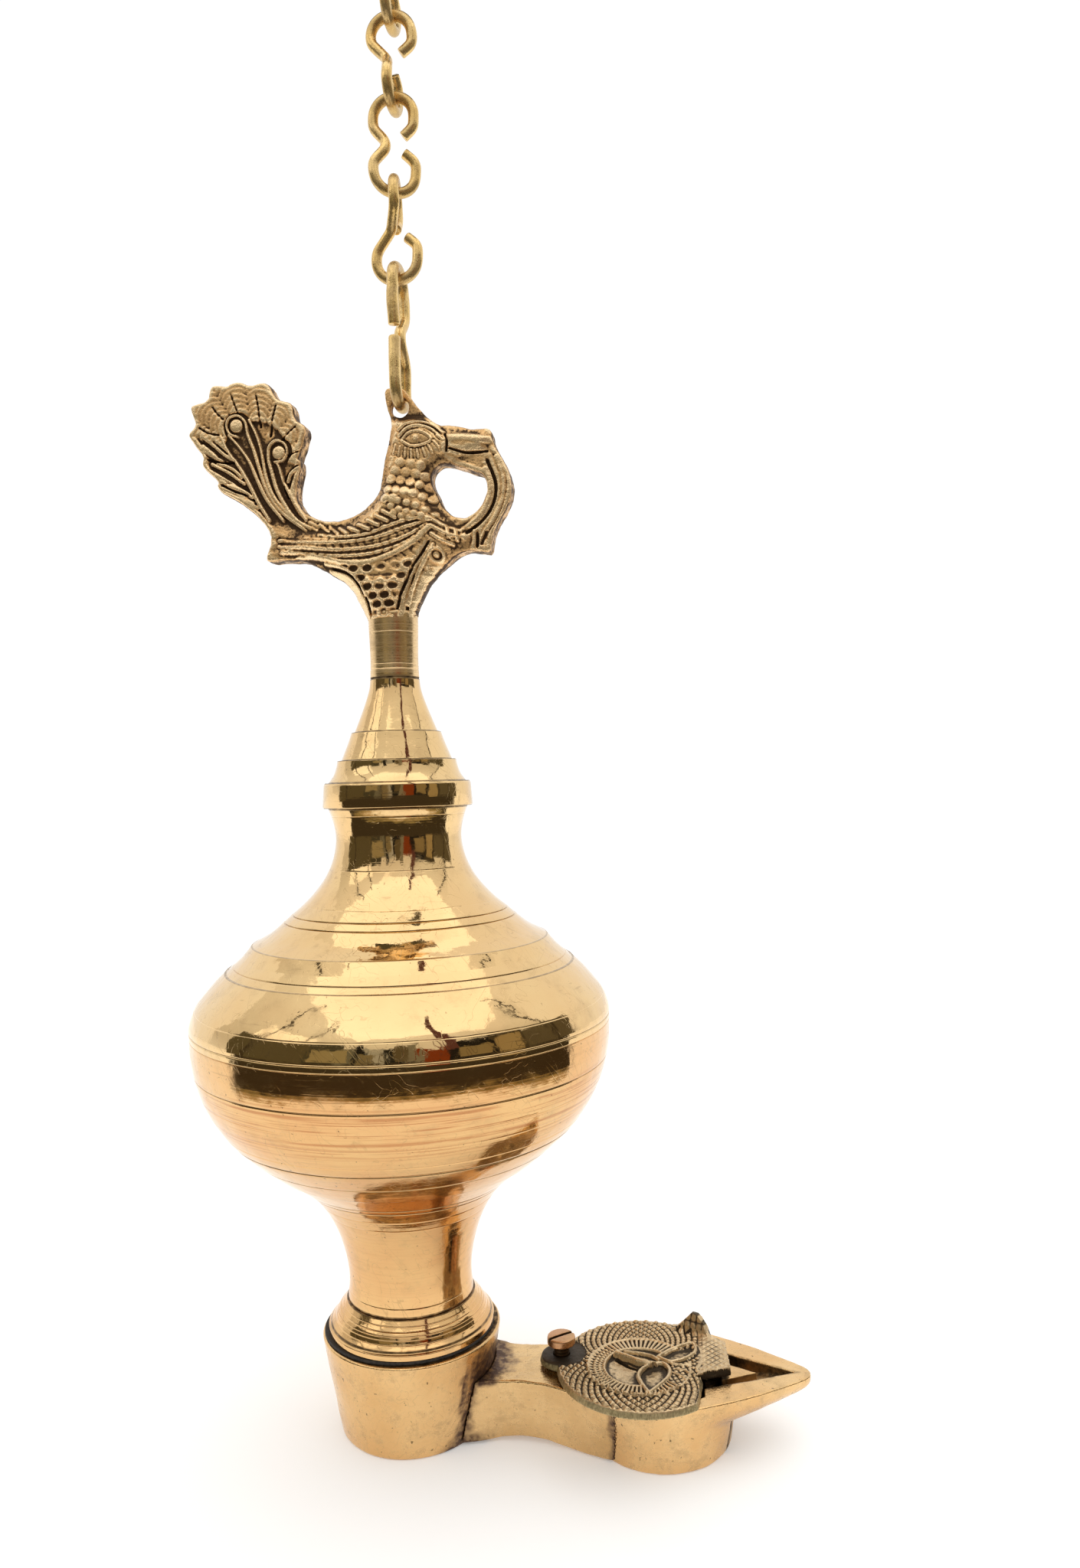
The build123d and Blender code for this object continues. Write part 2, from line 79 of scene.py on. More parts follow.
# ------------------------------------------------------------------ mesh helpers
def mesh_from(name, verts_mm, quads, mat=None, smooth=True, attrs=None, tris=None):
    v = w(verts_mm).astype(np.float32)
    faces = np.asarray(quads, np.int32).reshape(-1, 4)
    me = bpy.data.meshes.new(name)
    nt = 0 if tris is None else len(tris)
    me.vertices.add(len(v))
    me.vertices.foreach_set("co", v.ravel())
    loops = faces.ravel()
    starts = np.arange(len(faces), dtype=np.int32) * 4
    totals = np.full(len(faces), 4, np.int32)
    if nt:
        t = np.asarray(tris, np.int32).reshape(-1, 3)
        starts = np.concatenate([starts, len(loops) + np.arange(nt, dtype=np.int32) * 3])
        totals = np.concatenate([totals, np.full(nt, 3, np.int32)])
        loops = np.concatenate([loops, t.ravel()])
    me.loops.add(len(loops))
    me.loops.foreach_set("vertex_index", loops.astype(np.int32))
    me.polygons.add(len(starts))
    me.polygons.foreach_set("loop_start", starts.astype(np.int32))
    me.polygons.foreach_set("loop_total", totals.astype(np.int32))
    me.polygons.foreach_set("use_smooth", np.full(len(starts), smooth))
    me.update(calc_edges=True)
    me.validate()
    for an, av in (attrs or {}).items():
        a = me.attributes.new(an, "FLOAT", "POINT")
        a.data.foreach_set("value", np.asarray(av, np.float32))
    ob = bpy.data.objects.new(name, me)
    bpy.context.scene.collection.objects.link(ob)
    if mat:
        me.materials.append(mat)
    return ob


def lathe(points, n=192, closed=True, wob=0.0, seed=0, centre=(0, 0)):
    """Points (r, z) going round the section; returns verts and quads. Points with r = 0 become a pole."""
    p = np.asarray(points, float)
    m = len(p)
    th = np.arange(n) * 2 * np.pi / n
    verts, index = [], []
    for i, (r, z) in enumerate(p):
        if r < 1e-6:
            index.append([len(verts)] * n)
            verts.append((centre[0], centre[1], z))
        else:
            rr = np.full(n, r)
            if wob:
                rr = rr + wob * (vnoise(np.cos(th) * 1.7 + 5, np.sin(th) * 1.7 + 5, np.full(n, z * 0.13), seed) - 0.5)
            index.append(list(range(len(verts), len(verts) + n)))
            verts.extend(zip(centre[0] + rr * np.cos(th), centre[1] + rr * np.sin(th), np.full(n, z)))
    quads, tris = [], []
    rng = range(m) if closed else range(m - 1)
    for i in rng:
        a, b = index[i], index[(i + 1) % m]
        pa, pb = a[0] == a[-1], b[0] == b[-1]
        if pa and pb:
            continue
        for k in range(n):
            k2 = (k + 1) % n
            if pa:
                tris.append((a[0], b[k2], b[k]))
            elif pb:
                tris.append((a[k], a[k2], b[0]))
            else:
                quads.append((a[k], a[k2], b[k2], b[k]))
    return np.array(verts), quads, tris


def spline(points, step=0.8):
    """Centripetal Catmull-Rom through points, about step apart."""
    P = np.asarray(points, float)
    P = np.vstack([2 * P[0] - P[1], P, 2 * P[-1] - P[-2]])
    out = []
    for i in range(1, len(P) - 2):
        p0, p1, p2, p3 = P[i - 1], P[i], P[i + 1], P[i + 2]
        t0 = 0.0
        t1 = t0 + max(np.linalg.norm(p1 - p0), 1e-9) ** 0.5
        t2 = t1 + max(np.linalg.norm(p2 - p1), 1e-9) ** 0.5
        t3 = t2 + max(np.linalg.norm(p3 - p2), 1e-9) ** 0.5
        n = max(2, int(round(np.linalg.norm(p2 - p1) / step)))
        for t in np.linspace(t1, t2, n, endpoint=False):
            a1 = (t1 - t) / (t1 - t0) * p0 + (t - t0) / (t1 - t0) * p1
            a2 = (t2 - t) / (t2 - t1) * p1 + (t - t1) / (t2 - t1) * p2
            a3 = (t3 - t) / (t3 - t2) * p2 + (t - t2) / (t3 - t2) * p3
            b1 = (t2 - t) / (t2 - t0) * a1 + (t - t0) / (t2 - t0) * a2
            b2 = (t3 - t) / (t3 - t1) * a2 + (t - t1) / (t3 - t1) * a3
            out.append((t2 - t) / (t2 - t1) * b1 + (t - t1) / (t2 - t1) * b2)
    out.append(P[-2])
    return np.array(out)


def section(parts, bevel=0.18):
    """Joins smooth runs of (r, z) into one closed section. Each joint between runs is a small rounded edge with
    support points, so that smooth shading keeps the flats flat and the edge catches light."""
    runs = [np.asarray(p, float) for p in parts]
    out = []
    n = len(runs)
    for i, run in enumerate(runs):
        prev, nxt = runs[i - 1], runs[(i + 1) % n]
        pts = [q for q in run]
        out_run = []
        corner_in = np.allclose(prev[-1], run[0], atol=1e-6)
        corner_out = np.allclose(nxt[0], run[-1], atol=1e-6)
        seg = np.linalg.norm(np.diff(run, axis=0), axis=1)
        L = seg.sum()
        b = min(bevel, L * 0.22)
        s = np.concatenate([[0], np.cumsum(seg)])

        def at(d):
            return np.array([np.interp(d, s, run[:, 0]), np.interp(d, s, run[:, 1])])
        if corner_in:
            out_run += [at(b), at(b * 2.0)]
        else:
            out_run += [run[0]]
        lo = b * 2.6 if corner_in else 0.0
        hi = L - (b * 2.6 if corner_out else 0.0)
        out_run += [q for q, d in zip(run, s) if lo < d < hi]
        if corner_out:
            c = run[-1]
            nseg = np.linalg.norm(np.diff(nxt, axis=0), axis=1)
            nb = min(bevel, nseg.sum() * 0.22)
            ns = np.concatenate([[0], np.cumsum(nseg)])
            q = np.array([np.interp(nb, ns, nxt[:, 0]), np.interp(nb, ns, nxt[:, 1])])
            e = at(L - b)
            out_run += [at(L - b * 2.0), e, 0.25 * e + 0.5 * c + 0.25 * q]
        else:
            out_run += [run[-1]]
        out += out_run
    return np.array(out)


def cut_grooves(run, grooves):
    """Adds V grooves (z, width, depth) to a run of (r, z) points, cut square to it."""
    P = np.asarray(run, float)
    seg = np.linalg.norm(np.diff(P, axis=0), axis=1)
    s = np.concatenate([[0], np.cumsum(seg)])
    S = list(s)
    cuts = []
    for z, wd, dp in grooves:
        k = np.argmin(np.abs(P[:, 1] - z))
        lo, hi = max(k - 1, 0), min(k + 1, len(P) - 1)
        if P[hi, 1] > P[lo, 1]:
            d = np.interp(z, P[lo:hi + 1, 1], s[lo:hi + 1])
        else:
            d = np.interp(-z, -P[lo:hi + 1, 1], s[lo:hi + 1])
        cuts.append((d, wd, dp))
        S += [d - wd * 1.1, d - wd * 0.5, d - wd * 0.32, d - wd * 0.12, d, d + wd * 0.12, d + wd * 0.32, d + wd * 0.5, d + wd * 1.1]
    S = np.array(sorted(set(round(v, 5) for v in S if 0 <= v <= s[-1])))
    Q = np.stack([np.interp(S, s, P[:, 0]), np.interp(S, s, P[:, 1])], 1)
    T = np.gradient(Q, axis=0)
    T /= np.linalg.norm(T, axis=1)[:, None] + 1e-12
    N = np.stack([T[:, 1], -T[:, 0]], 1)
    N *= np.sign(N[:, :1] + 1e-9)
    depth = np.zeros(len(S))
    for d, wd, dp in cuts:
        t = np.clip(1 - np.abs(S - d) / (wd * 0.5), 0, 1)
        depth = np.maximum(depth, dp * t * t * (3 - 2 * t) if dp > 0 else 0)
        if dp < 0:
            depth = depth + dp * t
    return Q - N * depth[:, None]


def tube(points, r, sides=20, flat=None, cap=0.55):
    """A wire of radius r along points (mm), with rounded ends. flat(t) scales the wire's section a little."""
    P = np.asarray(points, float)
    n = len(P)
    T = np.gradient(P, axis=0)
    T /= np.linalg.norm(T, axis=1)[:, None]
    up = np.array([0.31, 0.42, 0.85])
    u = np.cross(T[0], up)
    u /= np.linalg.norm(u)
    th = np.arange(sides) * 2 * np.pi / sides
    rings, cen = [], []
    for i in range(n):
        u = u - T[i] * (u @ T[i])
        u /= np.linalg.norm(u)
        v = np.cross(T[i], u)
        k = 1.0 if flat is None else flat(i / (n - 1))
        rings.append(P[i] + r * k * (np.outer(np.cos(th), u) + np.outer(np.sin(th), v)))
    # rounded ends
    def end(P0, T0, ring, sign):
        out = []
        c = P0
        for a in (0.35, 0.7, 1.0, 1.25):
            rr = math.cos(a * cap * 1.15) if a < 1.2 else 0.45
            out.append(c + (ring - c) * rr + sign * T0 * r * cap * math.sin(min(a, 1.3) * 1.2) * 0.9)
        return out
    first = end(P[0], T[0], rings[0], -1)[::-1]
    last = end(P[-1], T[-1], rings[-1], 1)
    allr = first + rings + last
    verts = np.vstack(allr)
    m = len(allr)
    quads = []
    for i in range(m - 1):
        for k in range(sides):
            k2 = (k + 1) % sides
            quads.append((i * sides + k, i * sides + k2, (i + 1) * sides + k2, (i + 1) * sides + k))
    c0, c1 = len(verts), len(verts) + 1
    verts = np.vstack([verts, allr[0].mean(0), allr[-1].mean(0)])
    tris = []
    for k in range(sides):
        k2 = (k + 1) % sides
        tris.append((c0, k2, k))
        tris.append((c1, (m - 1) * sides + k, (m - 1) * sides + k2))
    return verts, quads, tris


def surface_net(F, origin, h):
    """Quads on the zero surface of F (positive inside), a grid of samples h apart from origin."""
    s = F > 0
    c = np.zeros(tuple(d - 1 for d in F.shape), np.int8)
    for a in (0, 1):
        for b in (0, 1):
            for e in (0, 1):
                c += s[a:a + c.shape[0], b:b + c.shape[1], e:e + c.shape[2]]
    act = np.argwhere((c > 0) & (c < 8))
    idx = np.full(c.shape, -1, np.int32)
    idx[act[:, 0], act[:, 1], act[:, 2]] = np.arange(len(act))
    pos = np.zeros((len(act), 3))
    cnt = np.zeros(len(act))
    corners = [(a, b, e) for a in (0, 1) for b in (0, 1) for e in (0, 1)]
    for ca in corners:
        for ax in range(3):
            if ca[ax] == 1:
                continue
            cb = list(ca); cb[ax] = 1
            A = act + np.array(ca); B = act + np.array(cb)
            fa = F[A[:, 0], A[:, 1], A[:, 2]]; fb = F[B[:, 0], B[:, 1], B[:, 2]]
            m = (fa > 0) != (fb > 0)
            t = fa[m] / (fa[m] - fb[m])
            q = A[m] + 0.0
            q[:, ax] += t
            pos[m] += q
            cnt[m] += 1
    pos = pos / cnt[:, None] * h + np.asarray(origin)
    quads = []
    for ax in range(3):
        b, e = (ax + 1) % 3, (ax + 2) % 3
        sl = [slice(None)] * 3; sl2 = [slice(None)] * 3
        sl[ax] = slice(0, -1); sl2[ax] = slice(1, None)
        S0, S1 = s[tuple(sl)], s[tuple(sl2)]
        d = S0 != S1
        I = np.argwhere(d)
        ok = (I[:, b] > 0) & (I[:, e] > 0) & (I[:, b] < F.shape[b] - 1) & (I[:, e] < F.shape[e] - 1)
        I = I[ok]
        inside = S0[I[:, 0], I[:, 1], I[:, 2]]
        db = np.zeros(3, int); db[b] = 1
        de = np.zeros(3, int); de[e] = 1
        q = []
        for off in (-db - de, -de, 0 * db, -db):
            J = I + off
            q.append(idx[J[:, 0], J[:, 1], J[:, 2]])
        q = np.stack(q, 1)
        q[~inside] = q[~inside][:, ::-1]
        quads.append(q)
    return pos, np.concatenate(quads)


def relax(verts, quads, n=1, k=0.5):
    V = verts.copy()
    E = np.concatenate([quads[:, [0, 1]], quads[:, [1, 2]], quads[:, [2, 3]], quads[:, [3, 0]]])
    for _ in range(n):
        acc = np.zeros_like(V); cnt = np.zeros(len(V))
        np.add.at(acc, E[:, 0], V[E[:, 1]]); np.add.at(acc, E[:, 1], V[E[:, 0]])
        np.add.at(cnt, E[:, 0], 1); np.add.at(cnt, E[:, 1], 1)
        V = V + k * (acc / np.maximum(cnt, 1)[:, None] - V)
    return V


# ------------------------------------------------------------------ bird finial
OUTLINE = [
    (-32.4, 218.5), (-31.2, 222.0), (-30.9, 224.9), (-33.7, 229.0), (-36.5, 231.6), (-40.6, 234.4), (-43.7, 236.2),
    (-45.1, 237.9), (-44.5, 239.2), (-47.7, 241.8), (-48.9, 243.5), (-48.5, 245.8), (-51.7, 250.0), (-52.6, 251.7),
    (-50.1, 253.9), (-51.1, 256.3), (-51.6, 258.8), (-50.4, 259.3), (-46.8, 260.0), (-46.1, 263.1), (-45.2, 263.9),
    (-41.4, 263.2), (-40.6, 264.0), (-38.1, 264.3), (-35.4, 262.9), (-31.7, 263.7), (-30.1, 262.6), (-29.1, 260.2),
    (-28.1, 259.0), (-24.8, 258.1), (-24.3, 256.9), (-23.7, 253.5), (-21.3, 252.0), (-20.8, 250.6), (-21.6, 247.9),
    (-23.2, 243.7), (-22.6, 243.1), (-22.6, 241.5), (-23.4, 238.2), (-23.9, 234.3), (-23.5, 232.7), (-22.2, 230.3),
    (-20.2, 228.6), (-16.1, 227.2), (-12.1, 227.1), (-8.0, 228.4), (-4.9, 230.4), (-2.8, 232.6), (-1.8, 234.8),
    (-1.1, 238.7), (-0.4, 242.5), (0.5, 245.3), (1.0, 248.2), (1.5, 250.7), (0.7, 253.1), (-0.2, 257.0), (-0.3, 259.3),
    (0.5, 260.1), (1.9, 260.05), (3.6, 260.0), (5.0, 259.1), (6.2, 257.3), (8.3, 254.4), (10.6, 251.7), (13.5, 249.4),
    (16.5, 249.2), (20.4, 248.3), (23.3, 247.7), (26.2, 247.7), (27.1, 246.3), (27.3, 244.4), (28.0, 242.4),
    (29.9, 239.5), (31.3, 235.5), (31.75, 232.7), (31.3, 229.8), (29.5, 226.7), (27.5, 223.4), (26.4, 220.6),
    (25.9, 217.1), (23.4, 217.5), (20.5, 217.9), (18.5, 217.4), (17.5, 216.9), (15.5, 215.5), (12.5, 212.8),
    (9.9, 210.0), (8.6, 207.2), (6.9, 204.4), (6.3, 201.5), (6.25, 199.0), (-6.25, 199.0), (-6.3, 201.5), (-7.4, 204.0),
    (-9.6, 208.5), (-11.5, 211.1), (-14.5, 213.2), (-18.5, 215.8), (-22.5, 217.6), (-27.6, 217.9), (-31.2, 217.7)]
BEAK_HOLE = [
    (11.2, 236.9), (12.2, 238.7), (14.3, 240.1), (18.1, 238.9), (22.0, 237.5), (24.3, 236.6), (25.3, 235.0),
    (25.4, 232.1), (24.3, 229.3), (22.1, 227.0), (19.7, 225.8), (16.8, 226.5), (14.5, 228.4), (13.0, 231.6),
    (11.7, 234.0)]
BODY_PAD = [
    (-27.0, 220.0), (-22.0, 222.6), (-14.0, 223.6), (-8.0, 226.2), (-3.4, 229.6), (-0.6, 234.0), (8.4, 234.0),
    (11.0, 229.4), (15.0, 224.6), (19.0, 221.0), (15.4, 217.2), (11.6, 213.6), (8.8, 209.6), (6.2, 203.0),
    (-6.2, 203.0), (-8.8, 209.4), (-13.4, 214.4), (-19.0, 217.6)]
HEAD_PAD = [
    (-1.2, 230.0), (-0.2, 240.0), (1.6, 248.0), (3.2, 251.0), (6.0, 252.2), (9.4, 250.6), (13.0, 247.8), (24.6, 246.4),
    (26.0, 245.0), (24.6, 242.6), (17.6, 241.2), (13.4, 241.6), (10.2, 238.6), (9.8, 234.0), (9.0, 230.0)]
# Relief of the casting: name: (half width, height, lines of (x, z)). A line of one point is a bead.
BIRD_RELIEF = {
    'tail_ribs': (0.62, 0.95, [[(-31.03, 228.3), (-33.96, 233.16), (-36.28, 237.99), (-38.63, 242.25), (-41.6, 246.57), (-43.65, 250.83)], [(-27.36, 228.07), (-31.49, 233.59), (-33.8, 238.42), (-36.11, 243.84), (-39.07, 248.15), (-41.35, 250.66)], [(-21.35, 225.09), (-28.5, 231.06), (-31.71, 236.52), (-33.4, 241.9), (-34.68, 246.38), (-36.22, 250.58), (-36.93, 253.97), (-38.86, 255.58), (-41.1, 255.05), (-41.9, 253.05), (-40.85, 250.92), (-39.02, 250.14)], [(-20.13, 225.31), (-26.09, 229.74), (-29.92, 234.65), (-31.62, 239.44), (-32.41, 244.17), (-33.1, 247.73), (-34.35, 251.32), (-35.81, 254.24)], [(-18.33, 224.91), (-23.71, 227.85), (-26.94, 232.13), (-28.95, 236.34), (-30.06, 240.5), (-30.88, 244.06), (-30.48, 247.25), (-28.6, 248.57), (-26.37, 247.36), (-25.89, 245.17), (-27.04, 243.33), (-29.25, 243.07)], [(-21.28, 227.7), (-23.61, 231.34), (-25.22, 234.35), (-27.07, 237.97), (-28.07, 241.53), (-28.77, 242.87)]]),
    'tail_beads': (0, 0.9, [[(-39.24, 252.97)], [(-28.08, 245.33)]]),
    'leaf_veins': (0.5, 0.5, [[(-49.54, 251.96), (-45.89, 248.75), (-42.25, 245.56), (-39.81, 244.1)], [(-47.34, 252.39), (-44.5, 249.42), (-41.72, 246.7)], [(-50.71, 250.46), (-47.5, 246.87), (-43.41, 244.23)], [(-48.39, 248.52), (-45.04, 245.63)], [(-46.04, 243.64), (-41.75, 241.29), (-37.51, 238.08)], [(-47.02, 242.12), (-42.43, 239.28), (-36.36, 235.19)], [(-44.48, 243.83), (-40.37, 241.9), (-38.21, 239.76)], [(-45.2, 240.23), (-40.64, 237.11), (-35.77, 234.45)], [(-43.11, 237.56), (-39.44, 235.56), (-35.2, 232.95)], [(-43.46, 236.0), (-38.87, 234.18), (-34.0, 231.7)], [(-41.73, 237.88), (-37.57, 236.03), (-35.46, 234.43)], [(-21.78, 241.98), (-23.37, 239.47), (-24.67, 236.65), (-25.35, 234.24)], [(-22.58, 241.63), (-24.87, 240.15), (-25.85, 237.89)]]),
    'tail_splits': (0.32, -0.75, [[(-45.6, 258.33), (-44.29, 256.46), (-42.6, 254.75)], [(-40.43, 261.16), (-39.69, 258.75), (-38.83, 256.46)], [(-33.77, 260.64), (-33.15, 256.79), (-32.91, 252.39)], [(-28.46, 257.6), (-29.55, 253.77), (-30.4, 249.87)], [(-23.25, 251.97), (-25.5, 250.1), (-27.38, 248.37)], [(-20.44, 246.24), (-23.2, 245.28), (-25.66, 244.57)], [(-49.5, 253.32), (-46.74, 251.64), (-43.65, 250.83)], [(-47.55, 245.1), (-43.54, 243.88), (-39.82, 243.8)], [(-43.83, 238.2), (-40.04, 236.19), (-36.37, 234.95)], [(-21.35, 242.24), (-23.61, 241.7), (-26.11, 239.65), (-26.82, 236.2), (-25.97, 233.82)]]),
    'wing_ridges': (0.5, 0.5, [[(-17.72, 223.7), (-10.61, 222.36), (-4.69, 222.64), (1.24, 224.5), (7.11, 225.72), (10.59, 225.51)], [(-28.56, 223.02), (-22.56, 222.09), (-14.21, 221.14), (-7.09, 221.18), (-1.77, 221.84), (5.9, 223.99), (10.87, 225.04)], [(-28.61, 221.46), (-22.61, 220.54), (-14.26, 219.37), (-7.15, 219.19), (-1.83, 219.68), (5.83, 221.73), (10.67, 224.15)], [(-28.05, 219.7), (-20.26, 218.8), (-13.12, 217.65), (-3.65, 217.74), (4.61, 219.76), (10.41, 223.15)]]),
    'wing_edge': (0.8, 0.85, [[(-29.65, 216.79), (-25.1, 217.58), (-20.28, 218.11), (-15.52, 217.04), (-11.39, 216.01), (-4.89, 215.65), (0.44, 216.94), (6.95, 219.97), (11.41, 223.66)]]),
    'back_scales': (0.55, 0.6, [[(-20.39, 227.08), (-18.03, 225.67)], [(-17.71, 226.22), (-15.07, 224.34)], [(-15.04, 225.49), (-12.41, 223.44)], [(-12.37, 224.98), (-9.74, 223.1)], [(-9.69, 224.82), (-6.76, 223.27)], [(-7.01, 225.23), (-4.09, 223.8)], [(-4.43, 226.1), (-1.7, 224.68)], [(-2.22, 227.11), (0.68, 225.56)], [(-0.42, 228.14), (2.76, 226.23)]]),
    'collar_scales': (0, 0.55, [[(1.78, 229.14)], [(3.69, 228.16)], [(5.6, 227.48)], [(7.46, 226.96)], [(9.31, 226.4)], [(11.21, 225.71)], [(2.5, 227.5)], [(4.41, 226.59)], [(6.38, 226.01)], [(3.46, 230.45)], [(5.78, 229.74)], [(8.1, 229.02)], [(10.4, 228.03)], [(12.69, 226.64)]]),
    'neck_scales': (0, 0.65, [[(3.98, 240.42)], [(6.6, 239.96)], [(9.03, 239.22)], [(2.75, 238.52)], [(5.37, 237.94)], [(7.81, 237.32)], [(10.13, 236.6)], [(1.51, 236.32)], [(4.03, 235.87)], [(6.47, 235.25)], [(8.79, 234.53)], [(10.98, 233.82)], [(0.85, 233.8)], [(2.9, 233.56)], [(5.24, 233.06)], [(7.56, 232.34)], [(9.75, 231.52)], [(11.94, 230.81)], [(0.2, 231.45)], [(2.25, 231.09)]]),
    'brow': (0.42, 0.5, [[(3.63, 248.6), (5.54, 249.89), (8.78, 250.39), (11.96, 249.41), (15.09, 247.08)], [(3.7, 246.89), (6.1, 248.88), (9.62, 249.19), (12.5, 247.95), (14.19, 246.02)]]),
    'eye_ring': (0.36, 0.5, [[(4.37, 245.7), (6.06, 247.4), (8.42, 247.91), (11.01, 246.81), (12.02, 245.44), (9.78, 244.4), (6.85, 244.27), (4.37, 245.7)]]),
    'eye_ball': (0, 0.45, [[(8.07, 246.12)]]),
    'fringe': (0.32, 0.45, [[(2.75, 244.79), (2.16, 242.55)], [(3.97, 244.25), (3.56, 242.0)], [(5.37, 243.81), (5.13, 241.55)], [(6.83, 243.36), (6.82, 241.2)], [(8.29, 243.26), (8.64, 241.19)], [(9.75, 243.5), (10.4, 241.63)], [(11.23, 244.07), (12.23, 242.19)], [(12.54, 245.11), (13.89, 243.43)], [(13.33, 246.47), (14.87, 245.23)]]),
    'beak_upper': (1.1, 0.8, [[(16.12, 245.66), (19.89, 245.73), (23.63, 245.01), (26.49, 244.52)]]),
    'beak_lower': (0.7, 0.55, [[(15.42, 241.18), (18.68, 239.7), (22.0, 238.23), (24.73, 237.03)]]),
    'beak_gap': (0.35, -0.8, [[(16.05, 243.17), (20.36, 241.85), (23.25, 241.76), (25.84, 241.91)], [(15.28, 246.86), (15.93, 245.0), (15.63, 242.47)]]),
    'loop_ribs': (0.55, 0.6, [[(26.66, 242.95), (29.1, 239.84), (30.91, 234.63), (30.45, 230.14), (28.23, 224.63), (25.94, 221.09), (25.37, 216.98)], [(24.96, 237.86), (26.06, 233.82), (25.61, 229.89), (23.07, 225.97), (19.05, 223.03)], [(27.91, 240.49), (29.51, 235.86), (29.43, 230.77), (27.23, 225.82), (24.7, 222.01), (23.09, 218.02)], [(21.94, 222.63), (21.86, 219.91), (21.11, 217.79)]]),
    'loop_groove': (0.5, -0.9, [[(25.6, 240.08), (27.67, 233.72), (26.97, 229.12), (24.44, 225.31), (20.19, 222.17)], [(25.11, 222.44), (23.7, 219.23)], [(22.79, 222.01), (22.7, 218.61)]]),
    'chest': (0.5, 0.45, [[(11.55, 225.82), (14.7, 223.92), (18.72, 222.55)], [(11.78, 223.76), (14.94, 222.04), (18.21, 220.88)], [(11.73, 221.83), (14.3, 220.09), (16.88, 219.03)], [(15.55, 223.13), (16.06, 220.83)], [(17.56, 222.45), (17.96, 220.16)]]),
    'skirt_groove': (0.42, -0.9, [[(11.22, 220.11), (9.41, 217.4), (7.0, 214.15), (5.16, 210.41), (3.79, 207.38), (2.64, 203.65), (1.73, 200.41)], [(-14.58, 215.06), (-9.43, 212.78), (-6.58, 209.22), (-4.92, 205.73), (-4.19, 200.13)], [(7.29, 211.99), (6.02, 208.11), (5.0, 204.78), (4.32, 201.42)]]),
    'skirt_ridge': (0.5, 0.45, [[(12.12, 219.04), (10.06, 215.78), (8.12, 212.51), (6.38, 208.66), (5.0, 204.78)], [(-16.21, 216.12), (-10.57, 214.38), (-7.11, 211.35), (-5.45, 207.57)]]),
    'skirt_scales': (0, 0.6, [[(-8.21, 214.25)], [(-4.68, 214.06)], [(-1.16, 214.15)], [(2.64, 214.22)], [(5.85, 214.61)], [(-6.39, 211.88)], [(-2.99, 211.7)], [(0.53, 211.79)], [(4.03, 211.89)], [(-4.69, 209.52)], [(-1.41, 209.35)], [(1.92, 209.45)], [(-3.41, 207.18)], [(-0.18, 207.19)], [(2.74, 207.43)], [(-2.29, 205.03)], [(0.81, 205.1)], [(-3.23, 203.03)], [(-0.59, 203.02)], [(1.75, 203.13)]]),
    'rosette': (0, 0.5, [[(12.78, 216.61)]]),
    'crest': (0.45, 0.35, [[(0.99, 258.32), (2.23, 253.61), (3.33, 250.36)], [(6.72, 255.28), (10.17, 251.86), (13.9, 248.44)]]),
}


def seg_dist(X, Z, pts):
    """Distance from each grid point to a polyline, and the length along it of the nearest point."""
    best = np.full(X.shape, 1e9)
    along = np.zeros(X.shape)
    s = 0.0
    for (ax, az), (bx, bz) in zip(pts[:-1], pts[1:]):
        dx, dz = bx - ax, bz - az
        L2 = dx * dx + dz * dz + 1e-12
        t = np.clip(((X - ax) * dx + (Z - az) * dz) / L2, 0, 1)
        d = np.hypot(X - ax - t * dx, Z - az - t * dz)
        m = d < best
        best = np.where(m, d, best)
        along = np.where(m, s + t * math.sqrt(L2), along)
        s += math.sqrt(L2)
    return best, along


def sdf(X, Z, poly):
    """Signed distance to a closed polygon, positive inside."""
    d, _ = seg_dist(X, Z, list(poly) + [poly[0]])
    inside = np.zeros(X.shape, bool)
    n = len(poly)
    for i in range(n):
        (x0, z0), (x1, z1) = poly[i], poly[(i + 1) % n]
        if z0 == z1:
            continue
        c = (Z >= min(z0, z1)) & (Z < max(z0, z1))
        inside ^= c & (X < x0 + (Z - z0) / (z1 - z0) * (x1 - x0))
    return np.where(inside, d, -d)


def sstep(a, b, x):
    t = np.clip((x - a) / (b - a), 0, 1)
    return t * t * (3 - 2 * t)


def smin(a, b, k):
    h = np.clip(0.5 + 0.5 * (b - a) / k, 0, 1)
    return b * (1 - h) + a * h - k * h * (1 - h)


def blur(A, n):
    """Separable box blur, three passes, radius n samples."""
    for _ in range(3):
        for ax in (0, 1):
            P = np.pad(A, [(n + 1, n) if i == ax else (0, 0) for i in (0, 1)], mode="edge")
            c = np.cumsum(P, axis=ax)
            if ax == 0:
                A = (c[2 * n + 1:] - c[:-(2 * n + 1)]) / (2 * n + 1)
            else:
                A = (c[:, 2 * n + 1:] - c[:, :-(2 * n + 1)]) / (2 * n + 1)
    return A


def smooth_line(pts, step=0.5):
    return [tuple(p) for p in spline([(a, b, 0) for a, b in pts], step)[:, :2]] if len(pts) > 2 else pts


def bump(d, w):
    """A rounded ridge section, 1 at its middle and 0 past its half width."""
    t = np.clip(1 - (d / w) ** 2, 0, 1)
    return t * t * (3 - 2 * t) * 0.35 + t * 0.65


def chaikin(pts, n=1):
    P = [tuple(p) for p in pts]
    for _ in range(n):
        Q = []
        for a, b in zip(P, P[1:] + P[:1]):
            Q.append((0.78 * a[0] + 0.22 * b[0], 0.78 * a[1] + 0.22 * b[1]))
            Q.append((0.22 * a[0] + 0.78 * b[0], 0.22 * a[1] + 0.78 * b[1]))
        P = Q
    return P


